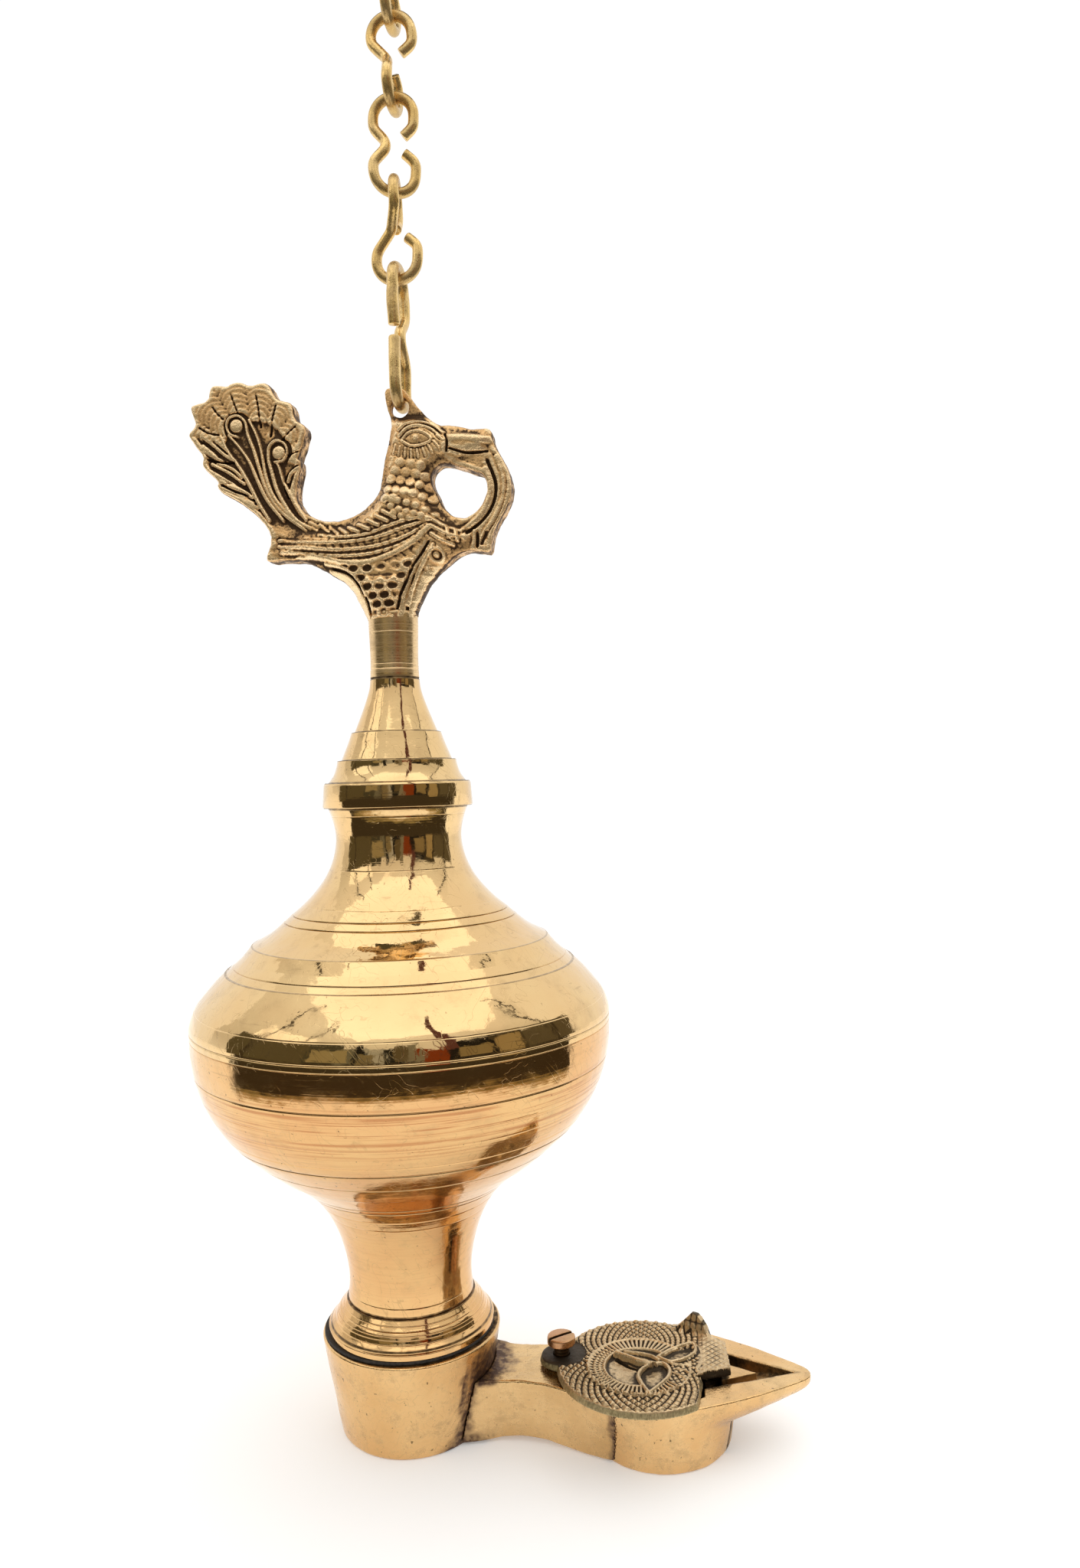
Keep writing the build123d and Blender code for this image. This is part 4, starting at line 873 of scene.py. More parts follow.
def cup_parts():
    wall = straight((17.7 + 0.5, 0.5), (22.3, 23.6), 24)
    return [[(0.0, 0.0), (17.6, 0.0)], [(17.6, 0.0), (17.95, 0.12), (18.2, 0.5)], wall,
            [(22.3, 23.6), (21.95, 24.0)], [(21.95, 24.0), (14.0, 24.0)], [(14.0, 24.0), (13.95, 15.2)],
            [(13.95, 15.2), (12.6, 14.4)], [(12.6, 14.4), (12.6, 3.6)], [(12.6, 3.6), (0.0, 3.6)]]


def make_cup(mat):
    pts = section(cup_parts(), 0.22)
    pts = np.array([p for p in pts if p[0] > 0.4])
    pts = np.vstack([[[0.0, 0.0]], pts, [[0.0, 3.6]]])
    n = 224
    v, q, t = lathe(pts, n=n, closed=False, wob=0.05, seed=5)
    v = v.copy()
    r = np.hypot(v[:, 0], v[:, 1])
    out = r > 14.6
    k = 0.07 * fbm(v[:, 0] * 0.16, v[:, 1] * 0.16, v[:, 2] * 0.2, 2, 121) - 0.05
    v[:, 0] += out * k * v[:, 0] / np.maximum(r, 1)
    v[:, 1] += out * k * v[:, 1] / np.maximum(r, 1)
    x, y, z = v.T
    th = np.arctan2(y, x)
    nn = fbm(x * 0.35, y * 0.35, z * 0.4, 3, 131)
    # flux that crept out of the braze around the bar, and a crack of it going up to the rim
    W = np.interp(np.hypot(x, y) * np.cos(th) + 0 * x, BR_X, BR_W)
    dy = np.abs(y) - W
    nearb = (x > 6) & (r > 15)
    f1 = nearb * sstep(1.5 + 0.9 * nn, 0.2, dy) * (z < 15.6 + nn)
    f2 = nearb * sstep(0.8 + 0.5 * nn, 0.0, np.abs(np.abs(y) - 12.3 - 0.12 * (z - 12))) * (z > 11) * (y < 0) * sstep(22.5, 19.0, z) * 0.9
    f3 = nearb * sstep(2.2, 0.2, z) * sstep(3.5, 0.5, dy)
    f4 = nearb * sstep(4.2 + 1.8 * nn, 0.6, np.abs(y) - 9.8) * sstep(14.6, 15.6, z) * sstep(25.0, 19.5 + 2.5 * nn, z)
    f5 = nearb * sstep(1.2 + 0.7 * nn, 0.1, np.abs(np.abs(y) - 12.6 - 0.10 * (z - 8) - 0.4 * nn)) * sstep(7.5, 9.5, z) * (y < 0) * (z < 18)
    f4 = np.maximum(f4, f5)
    flux = np.clip(np.maximum.reduce([f1, f2, f3, f4]), 0, 1)
    # the top of the rim round the washer, and the inside of the cup, are made dark
    soot_and_shade = ((r < 21.7) & (z > 23.7)) * 0.9 + (r < 14.2) * (z > 3) * 0.5
    ob = mesh_from("base_cup_turned", v, q, mat, tris=t if len(t) else None, attrs={"flux": flux, "soot_and_shade": soot_and_shade})
    return fix_normals(ob)


def make_seal(mat):
    n = 160
    th = np.arange(n) * 2 * np.pi / n
    out = 20.75 + 0.95 * np.exp(-((np.degrees((th - math.radians(205) + np.pi) % (2 * np.pi) - np.pi)) / 48.0) ** 2)
    out = out + 0.10 * vnoise(np.cos(th) * 3, np.sin(th) * 3, th * 0, 77)
    rows = [(14.05, 24.02), (0, 24.02), (1, 24.15), (1, 24.65), (0, 24.78), (14.05, 24.78)]
    verts = []
    for i, (r, z) in enumerate(rows):
        rr = np.full(n, r) if r > 2 else out - (0.12 if i in (1, 4) else 0.0)
        verts.append(np.stack([rr * np.cos(th), rr * np.sin(th), np.full(n, z)], 1))
    m = len(rows)
    quads = [(i * n + k, i * n + (k + 1) % n, ((i + 1) % m) * n + (k + 1) % n, ((i + 1) % m) * n + k) for i in range(m) for k in range(n)]
    return fix_normals(mesh_from("seal_ring", np.vstack(verts), quads, mat, smooth=False))


# ------------------------------------------------------------------ lid
LX, LY = 58.0, -2.4
RING = (57.4, -4.6)
LEAF = [(61.8, -0.3), (64.9, 3.2), (70.2, 6.6), (71.0, 3.6), (69.0, 0.1), (65.0, -2.2), (61.8, -0.3)]
HEART = [(60.3, -16.0), (58.3, -11.7), (57.5, -8.4), (58.7, -5.4), (60.7, -3.8), (63.0, -3.2), (64.7, -5.2), (64.6, -8.6),
         (62.8, -12.2), (60.3, -16.0)]
LID_RIDGES = [
    (0.62, 0.62, LEAF), (0.66, 0.66, HEART),
    (0.95, 1.05, [(51.6, -0.3), (55.1, -2.1), (57.8, -3.7), (61.2, -4.4)]),
    (0.5, 0.45, [(53.6, 1.6), (57.0, 1.2), (60.0, 0.4), (62.0, -1.4)]),
    (0.6, 0.55, [(70.7, 6.8), (72.4, 3.6), (72.7, -0.2), (71.2, -4.4)]),
    (0.45, 0.42, [(72.4, 5.2), (73.8, 1.8), (73.7, -2.0), (72.4, -4.8)]),
    (0.42, 0.4, [(65.2, -2.8), (68.0, -3.2), (69.9, -2.4)]), (0.4, 0.36, [(66.4, -4.8), (68.4, -5.4), (69.7, -6.6)]),
    (0.42, 0.36, [(65.6, -6.6), (67.6, -7.8), (68.8, -9.4)])]
LID_DARK = [(0.55, 0.75, [(51.9, -1.7), (54.7, -4.0), (57.3, -5.5)]), (0.45, 0.6, [(54.4, 0.1), (57.6, -1.0), (59.4, -2.2)])]


def make_lid(mat):
    h = 0.17
    xs = np.arange(31.6, 80.6, h); ys = np.arange(-24.2, 19.6, h); zs = np.arange(14.4, 23.6, h)
    X, Y = np.meshgrid(xs, ys, indexing="ij")
    z0, z1 = 16.05, 18.25
    disc = 20.75 - np.hypot(X - LX, Y - LY)
    out = smin(disc, 72.5 + 0.11 * (Y + 10) - X, 0.5)
    out = np.where(Y > -7.2, np.minimum(out, 71.6 - X + 0 * Y), out)
    ear = 5.45 - np.hypot(X - 38.0, Y)
    neck = sdf(X, Y, [(38.0, -5.4), (45.5, -10.5), (45.5, 8.5), (38.0, 5.4)])
    plate = -smin(-out, -np.maximum(ear, neck), 0.8)
    tongue = sdf(X, Y, [(64.0, -7.0), (71.4, -7.0), (79.35, -4.0), (78.35, 7.5), (75.0, 10.3), (71.4, 13.2), (64.0, 13.2)])
    # relief
    R = np.zeros(X.shape)
    cx, cy = RING
    rr = np.hypot((X - cx) / 1.0, Y - cy)
    th = np.arctan2(Y - cy, X - cx)
    rd = np.hypot(X - LX, Y - LY)
    thd = np.arctan2(Y - LY, X - LX)
    wv = 0.25 * vnoise(X * 0.3, Y * 0.3, X * 0, 141)
    # outer band of crossed scales
    n1, n2 = 46, 1.62
    a1 = thd * n1 / 2 + rd * n2 + wv * 2
    a2 = thd * n1 / 2 - rd * n2 + wv * 2
    c1, c2 = np.abs(np.sin(a1)), np.abs(np.sin(a2))
    scales = np.minimum(c1, c2) ** 0.75
    band = sstep(12.1, 12.7, np.maximum(rr - 0.2, rd - 0.9)) * sstep(20.2, 19.6, rd)
    R += band * (scales * 0.62 - 0.28)
    # ring of flutes, with a raised edge either side
    fl = np.abs(np.sin(th * 31 + wv)) ** 0.8
    ringm = sstep(8.3, 8.8, rr) * sstep(12.2, 11.6, rr)
    keep = np.where((np.abs(np.degrees(th)) > 38) | (rr < 0), 1.0, sstep(30, 44, np.abs(np.degrees(th)))) 
    R += ringm * keep * (fl * 0.52 - 0.18)
    R += 0.42 * np.exp(-((rr - 12.35) / 0.38) ** 2) * (0.4 + 0.6 * keep)
    R += 0.30 * np.exp(-((rr - 8.3) / 0.34) ** 2) * keep
    inner = sstep(8.3, 7.7, rr)
    R -= 0.22 * inner
    # left part of the ring has a second row of short bars
    m2 = sstep(130, 140, np.abs(np.degrees(th))) * sstep(8.6, 9.0, rr) * sstep(12.0, 11.6, rr)
    R -= 0.22 * m2 * (np.abs(np.sin((rr - 8.3) * 2.6)) ** 3)
    # small scales on the right
    sc = np.minimum(np.abs(np.sin(X * 2.3 + Y * 1.1)), np.abs(np.sin(X * 1.1 - Y * 2.3))) ** 0.8
    rz = sstep(63.6, 65.2, X) * sstep(12.6, 11.8, rr) * (1 - ringm * keep)
    R += rz * (0.34 * sc - 0.12)
    for wd, ht, line in LID_RIDGES:
        d, _ = seg_dist(X, Y, smooth_line(line))
        R = np.where(d < wd, np.maximum(R, -0.1 + (ht + 0.1) * bump(d, wd)), R)
    for poly, dep in ((LEAF, 0.30), (HEART, 0.38)):
        s = sdf(X, Y, poly)
        R = np.where(s > 0.55, np.minimum(R, 0.05 - dep * sstep(0.5, 1.0, s)), R)
    for wd, ht, line in LID_DARK:
        d, _ = seg_dist(X, Y, smooth_line(line))
        R -= ht * bump(d, wd)
    R += 0.05 * fbm(X * 1.2, Y * 1.2, X * 0 + 3.3, 3, 151)
    flat = sstep(5.6, 6.4, np.hypot(X - 38, Y)) * (0.25 + 0.75 * sstep(0.0, 0.8, plate))
    ttop = np.where((tongue > 0) & (X > 70.5), 0.5, 0.0)
    top = z1 - 0.50 + 1.4 * R * flat + ttop * sstep(70.5, 72.5, X)
    # scales run out on to the tongue too
    tsc = np.minimum(np.abs(np.sin((X + Y) * 1.55)), np.abs(np.sin((X - Y) * 1.55))) ** 0.8
    top = np.where((X > 72.6) & (tongue > 0), z1 + 0.10 + 0.34 * tsc, top)
    bevel = 0.9 * np.clip((1.3 - plate) / 1.3, 0, 1) ** 1.5 * (tongue < 0)
    top = top - bevel * 0.55
    F = np.empty((len(xs), len(ys), len(zs)), np.float32)
    edge = plate + 0.05 * fbm(X * 0.8, Y * 0.8, X * 0, 2, 161)
    zt = 17.35
    for k, z in enumerate(zs):
        slope = (z - z0) * 0.36
        p = smin(np.minimum(edge - slope * (tongue < 0), z - z0), (top - z) * 0.9, 0.12)
        tq = smin(np.minimum(tongue + 0.12 * vnoise(X * 0.9, Y * 0.9, X * 0 + z, 171), z - (z0 + 0.5)), (top - z) * 0.9, 0.12)
        boss = np.minimum(4.2 - np.hypot(X - 38, Y), min(z - 15.15, 17.2 - z))
        # thumb tab: the back right corner curls up to a point
        tt = (X - 66.2) * 0.9027 - (Y - 15.9) * 0.4303
        nn = (X - 66.2) * 0.4303 + (Y - 15.9) * 0.9027
        hz = z - 17.3
        mid = -0.95 + 0.55 * (hz / 5.3) ** 2 - 0.5 * np.exp(-((hz - 1.2) / 1.6) ** 2)
        lo = -1.2 + 5.9 * np.clip(hz / 5.35, 0, 1) ** 0.8
        hi = 9.9 - 3.7 * np.clip(hz / 5.35, 0, 1) ** 1.9
        thick = 1.0 - 0.42 * np.clip(hz / 5.2, 0, 1) + 0.16 * np.abs(np.sin(tt * 2.0)) * np.abs(np.sin(hz * 1.7 + 0.4))
        tab = np.minimum(np.minimum(thick - np.abs(nn - mid), np.minimum(tt - lo, hi - tt) * 0.75), min(hz + 0.4, 22.62 - z))
        f = -smin(-p, -tq, 0.1)
        f = np.maximum(f, boss)
        f = -smin(-f, -tab, 0.9)
        f = np.minimum(f, np.hypot(X - 38, Y) - 2.06)
        F[:, :, k] = f
    v, q = surface_net(F, (xs[0], ys[0], zs[0]), h)
    v = relax(v, q, 1, 0.2)
    v[:, 2] = np.clip(v[:, 2], 15.15, 22.65)
    A = blur(top, max(1, int(0.5 / h))) - top
    B = blur(top, max(1, int(1.3 / h))) - top
    fi = np.clip((v[:, 0] - xs[0]) / h, 0, len(xs) - 2); fj = np.clip((v[:, 1] - ys[0]) / h, 0, len(ys) - 2)
    i, j = fi.astype(int), fj.astype(int); a, b = fi - i, fj - j

    def samp(M):
        return M[i, j] * (1 - a) * (1 - b) + M[i + 1, j] * a * (1 - b) + M[i, j + 1] * (1 - a) * b + M[i + 1, j + 1] * a * b
    x, y, z = v.T
    face = sstep(0.35, 0.08, samp(top) - z)
    # recesses, for the dark patina; high places, for a painted highlight
    c = (samp(A) * 2.6 + samp(B) * 1.1) * face
    tb = sstep(18.9, 19.6, z)
    tv = (x - 66.2) * 0.9027 - (y - 15.9) * 0.4303
    c = c * (1 - tb) + tb * (0.42 - 0.75 * np.abs(np.sin(tv * 2.0)) * np.abs(np.sin((z - 17.3) * 1.7 + 0.4)))
    c = np.where(np.hypot(x - 38, y) < 6.2, np.maximum(c, 0.55), c)
    tside = (x > 70.8) * (1 - face) * sstep(19.2, 18.4, z) * sstep(-8.2, -7.4, y)
    c = np.maximum(c, 0.9 * tside)
    green = (1 - face) * (1 - tside) * (z < 18.2)
    return mesh_from("pan_lid_cast", v, q, mat, attrs={"cavity": c, "filed": green})


def make_screw(mat):
    cx = 38.0
    parts = [[(0.0, 9.3), (1.5, 9.3)], [(1.5, 9.3), (2.0, 9.8)], straight((2.0, 9.8), (2.0, 20.3), 3), [(2.0, 20.3), (3.5, 20.3)],
             [(3.5, 20.3), (3.5, 21.9)], [(3.5, 21.9), (3.15, 22.3)], [(3.15, 22.3), (0.0, 22.3)]]
    h = 0.14
    xs = np.arange(34.2, 41.9, h); ys = np.arange(-3.9, 3.9, h); zs = np.arange(9.0, 22.9, h)
    X, Y, Z = np.meshgrid(xs, ys, zs, indexing="ij")
    r = np.hypot(X - cx, Y)
    shank = np.minimum(1.98 - r - 0.12 * np.abs(np.sin(Z * 4.2)) * (Z < 20), np.minimum(Z - 9.3, 20.5 - Z))
    head = smin(3.48 - r, 22.28 - Z - 0.012 * r * r, 0.45)
    head = smin(head, Z - 20.3, 0.15)
    F = np.maximum(shank, head)
    a = math.radians(38)
    u = -(X - cx) * math.sin(a) + Y * math.cos(a)
    slot = np.minimum(0.45 - np.abs(u), Z - 21.4)
    F = smin(F, -slot, 0.08)
    v, q = surface_net(F.astype(np.float32), (xs[0], ys[0], zs[0]), h)
    v = relax(v, q, 2, 0.35)
    v[:, 2] = np.clip(v[:, 2], 9.3, 22.3)
    u = -(v[:, 0] - cx) * math.sin(a) + v[:, 1] * math.cos(a)
    c = sstep(0.62, 0.4, np.abs(u)) * (v[:, 2] > 21.2) * 0.8 + sstep(20.6, 19.8, v[:, 2]) * 0.9
    return mesh_from("lid_screw_head", v, q, mat, attrs={"cavity": c})


# ------------------------------------------------------------------ wire work
LUG_X, LUG_Z = 3.5, 255.5
WIRE, HOOK_WIRE, GAP, EYE_R = 1.35, 1.5, 0.05, 5.3


def fillet_path(points, radii, step=0.55):
    """Straight runs joined by arcs, sampled about step apart."""
    P = [np.asarray(p, float) for p in points]
    out = [P[0]]
    for i in range(1, len(P) - 1):
        a, c, b = P[i - 1], P[i], P[i + 1]
        u, v = a - c, b - c
        lu, lv = np.linalg.norm(u), np.linalg.norm(v)
        u, v = u / lu, v / lv
        ang = math.acos(max(-1, min(1, float(u @ v))))
        if abs(math.pi - ang) < 1e-3:
            out.append(c)
            continue
        r = radii[i - 1]
        t = r / math.tan(ang / 2)
        bis = (u + v) / np.linalg.norm(u + v)
        o = c + bis * (r / math.sin(ang / 2))
        s0, s1 = c + u * t - o, c + v * t - o
        tot = math.pi - ang
        n = max(3, int(r * tot / step))
        for k in range(n + 1):
            f = k / n
            q = (math.sin((1 - f) * tot) * s0 + math.sin(f * tot) * s1) / math.sin(tot)
            out.append(o + q)
    out.append(P[-1])
    # even spacing, then the tiniest smoothing of the joins
    Q = np.array(out)
    keep = np.concatenate([[True], np.linalg.norm(np.diff(Q, axis=0), axis=1) > 1e-5])
    Q = Q[keep]
    s = np.concatenate([[0], np.cumsum(np.linalg.norm(np.diff(Q, axis=0), axis=1))])
    S = np.linspace(0, s[-1], int(s[-1] / step) + 1)
    Q = np.stack([np.interp(S, s, Q[:, k]) for k in range(3)], 1)
    for _ in range(2):
        Q[1:-1] = 0.5 * Q[1:-1] + 0.25 * (Q[:-2] + Q[2:])
    return Q


def hand_bent(Q, seed, amp=0.22, z0=None, z1=None):
    """A bent wire is never quite straight: it wanders a little, but not where it hangs in its neighbour."""
    z = Q[:, 2]
    lo, hi = z.min(), z.max()
    k = sstep(3.5, 7.5, z - lo) * sstep(3.5, 7.5, hi - z)
    s = np.arange(len(Q)) * 0.55
    d = np.stack([vnoise(s * 0.16, s * 0 + 3.1 * a, s * 0, seed) for a in range(3)], 1)
    d[:, 2] *= 0.5
    return Q + d * (k * amp)[:, None]


def wire_mesh(name, pts, radii, r, mat, seed):
    Q = hand_bent(fillet_path(pts, radii), seed)
    z = Q[:, 2]
    lo, hi = z.min(), z.max()

    def flat(t):
        i = int(round(t * (len(Q) - 1)))
        k = sstep(2.0, 5.0, z[i] - lo) * sstep(2.0, 5.0, hi - z[i])
        return 0.985 + 0.030 * float(vnoise(np.array([t * 23.0]), np.array([seed * 1.7]), np.array([0.0]), seed)[0]) * k
    v, q, t = tube(Q, r, sides=24, flat=flat, cap=0.32)
    n = 0.02 * fbm(v[:, 0] * 0.7, v[:, 1] * 0.7, v[:, 2] * 0.7, 2, seed + 5)
    c = np.zeros(len(v))
    # each link is made darker near its two ends, where it hangs in its neighbour
    ob = mesh_from(name, v, q, mat, tris=t, attrs={"link_end": sstep(4.2, 1.6, np.minimum(v[:, 2] - lo, hi - v[:, 2]))})
    return fix_normals(ob)


def eight_link_route(z0, z1, a0, a1, R=EYE_R):
    zm = (z0 + z1) / 2

    def p(a, t, z):
        a = math.radians(a)
        return (LUG_X + t * math.cos(a), t * math.sin(a), z)

    h = (z1 - z0) / 2
    pts = [p(a1, R * 0.55, zm + 1.9), p(a1, R, zm + h * 0.32), p(a1, R, z1), p(a1, -R, z1), p(a1, -R, zm + h * 0.40),
           p((a0 + a1) / 2, -1.1, zm), p(a0, -R, zm - h * 0.40), p(a0, -R, z0), p(a0, R, z0), p(a0, R, zm - h * 0.32),
           p(a0, R * 0.55, zm - 1.9)]
    return pts, [2.4, R * 0.96, R * 0.96, 3.0, 3.0, 3.0, R * 0.96, R * 0.96, 2.4]


Z_LINKS = [(287.25, 312.05), (309.30, 333.45), (330.70, 354.00), (351.25, 375.55)]
Z_HOOK_EYE = Z_LINKS[3][1] - WIRE - HOOK_WIRE - GAP
Z_HOOK_TOP = Z_HOOK_EYE + 40.9


def hanging_hook_route():
    x, z0, z1 = LUG_X, Z_HOOK_EYE, Z_HOOK_TOP
    R, T = 4.9, 9.5
    pts = [(x, -2.6, z0 + 11.4), (x, -R, z0 + 8.4), (x, -R, z0), (x, R, z0), (x, R, z0 + 8.0), (x, 0.6, z0 + 14.2),
           (x, 0.6, z0 + 18.0), (x, T, z0 + 23.0), (x, T, z1), (x, -T, z1), (x, -T, z1 - 13.6), (x, -T + 3.4, z1 - 18.0)]
    return pts, [3.0, R * 0.96, R * 0.96, 3.6, 4.0, 3.6, 6.0, T * 0.96, T * 0.96, 4.0]


def s_hook_route():
    z0, z1 = LUG_Z, Z_LINKS[0][0] + WIRE + HOOK_WIRE + GAP
    x, R = LUG_X, 4.95
    zm = (z0 + z1) / 2
    pts = [(x, -R + 0.6, zm + 1.9), (x, -R, zm + 6.5), (x, -R, z1), (x, R, z1), (x, R, zm + 6.0), (x, -0.9, zm),
           (x, R, zm - 6.0), (x, R, z0), (x, -R, z0), (x, -R, zm - 6.5), (x, -R + 0.6, zm - 1.9)]
    return pts, [6.0, R * 0.96, R * 0.96, 4.0, 3.4, 4.0, R * 0.96, R * 0.96, 6.0]


# ------------------------------------------------------------------ materials
class Mat:
    """Small helper that wires a node material together. Coordinates are the lamp's own millimetres."""

    def __init__(self, name):
        self.m = bpy.data.materials.new(name)
        self.m.use_nodes = True
        self.t = self.m.node_tree
        self.t.nodes.clear()
        self.out = self.t.nodes.new("ShaderNodeOutputMaterial")
        self.p = self.t.nodes.new("ShaderNodeBsdfPrincipled")
        self.t.links.new(self.p.outputs[0], self.out.inputs[0])
        tc = self.t.nodes.new("ShaderNodeTexCoord")
        s = self.vec("MULTIPLY_ADD", tc.outputs["Object"], (1000.0,) * 3, (3.5, 0.0, 412.05))
        self.pos = s

    def put(self, sock, val):
        if isinstance(val, bpy.types.NodeSocket):
            self.t.links.new(val, sock)
        elif isinstance(val, (tuple, list)) and sock.type == "RGBA" and len(val) == 3:
            sock.default_value = (*val, 1.0)
        else:
            sock.default_value = val

    def vec(self, op, a, b=None, c=None):
        n = self.t.nodes.new("ShaderNodeVectorMath")
        n.operation = op
        for i, x in enumerate((a, b, c)):
            if x is not None:
                self.put(n.inputs[i], x)
        return n.outputs[0]

    def math(self, op, a, b=None, clamp=False):
        n = self.t.nodes.new("ShaderNodeMath")
        n.operation = op
        n.use_clamp = clamp
        self.put(n.inputs[0], a)
        if b is not None:
            self.put(n.inputs[1], b)
        return n.outputs[0]

    def xyz(self, v):
        n = self.t.nodes.new("ShaderNodeSeparateXYZ")
        self.put(n.inputs[0], v)
        return n.outputs[0], n.outputs[1], n.outputs[2]

    def join(self, x, y, z):
        n = self.t.nodes.new("ShaderNodeCombineXYZ")
        for i, v in enumerate((x, y, z)):
            self.put(n.inputs[i], v)
        return n.outputs[0]

    def rot(self, v, e):
        n = self.t.nodes.new("ShaderNodeVectorRotate")
        n.rotation_type = "EULER_XYZ"
        self.put(n.inputs["Vector"], v)
        n.inputs["Rotation"].default_value = e
        return n.outputs[0]

    def noise(self, v, scale=1.0, detail=3.0, rough=0.55, lac=2.0):
        n = self.t.nodes.new("ShaderNodeTexNoise")
        n.noise_dimensions = "3D"
        self.put(n.inputs["Vector"], v)
        n.inputs["Scale"].default_value = scale
        n.inputs["Detail"].default_value = detail
        n.inputs["Roughness"].default_value = rough
        n.inputs["Lacunarity"].default_value = lac
        return n.outputs[0]

    def noise1(self, x, scale=1.0, detail=2.0, rough=0.5):
        n = self.t.nodes.new("ShaderNodeTexNoise")
        n.noise_dimensions = "1D"
        self.put(n.inputs["W"], x)
        n.inputs["Scale"].default_value = scale
        n.inputs["Detail"].default_value = detail
        n.inputs["Roughness"].default_value = rough
        return n.outputs[0]

    def span(self, x, lo, hi, a=0.0, b=1.0):
        n = self.t.nodes.new("ShaderNodeMapRange")
        n.interpolation_type = "SMOOTHSTEP"
        self.put(n.inputs["Value"], x)
        n.inputs["From Min"].default_value = lo
        n.inputs["From Max"].default_value = hi
        n.inputs["To Min"].default_value = a
        n.inputs["To Max"].default_value = b
        return n.outputs[0]

    def mix(self, f, a, b):
        n = self.t.nodes.new("ShaderNodeMix")
        n.data_type = "RGBA"
        self.put(n.inputs[0], f)
        self.put(n.inputs[6], a)
        self.put(n.inputs[7], b)
        return n.outputs[2]

    def mul(self, a, b):
        return self.math("MULTIPLY", a, b)

    def add(self, a, b):
        return self.math("ADD", a, b)

    def attr(self, name):
        n = self.t.nodes.new("ShaderNodeAttribute")
        n.attribute_name = name
        return n.outputs["Fac"]

    def scratches(self, scale, width, seed, stretch=0.06):
        """Long thin lines: the level line of a noise pulled out in one direction."""
        v = self.rot(self.pos, (seed * 1.3, seed * 0.7, seed * 2.1))
        v = self.vec("MULTIPLY", v, (scale * stretch, scale, scale))
        n = self.noise(self.vec("ADD", v, (seed * 11.0, 0, 0)), 1.0, 1.0)
        line = self.span(self.math("ABSOLUTE", self.math("SUBTRACT", n, 0.5)), 0.0, width, 1.0, 0.0)
        gate = self.span(self.noise(self.vec("ADD", self.pos, (seed * 7.0, 3.0, 1.0)), 0.11, 2.0), 0.48, 0.60)
        return self.mul(line, gate)

    def bump(self, height, dist, normal=None, strength=1.0):
        n = self.t.nodes.new("ShaderNodeBump")
        self.put(n.inputs["Height"], height)
        n.inputs["Strength"].default_value = strength
        n.inputs["Distance"].default_value = dist * MM
        if normal is not None:
            self.put(n.inputs["Normal"], normal)
        return n.outputs[0]

    def done(self, color, rough, normal=None, metallic=1.0, spec=0.5):
        self.put(self.p.inputs["Base Color"], color)
        self.put(self.p.inputs["Roughness"], rough)
        self.put(self.p.inputs["Metallic"], metallic)
        self.put(self.p.inputs["Specular IOR Level"], spec)
        if normal is not None:
            self.put(self.p.inputs["Normal"], normal)
        return self.m


BRASS = (0.800, 0.535, 0.252)
PALE = (0.820, 0.574, 0.278)
ROSE = (0.745, 0.432, 0.188)
WARM = (0.772, 0.488, 0.216)
TAN = (0.470, 0.310, 0.150)
DARK = (0.060, 0.036, 0.018)
SOOT_AND_SHADE = (0.020, 0.014, 0.010)
FLUX = (0.075, 0.040, 0.036)


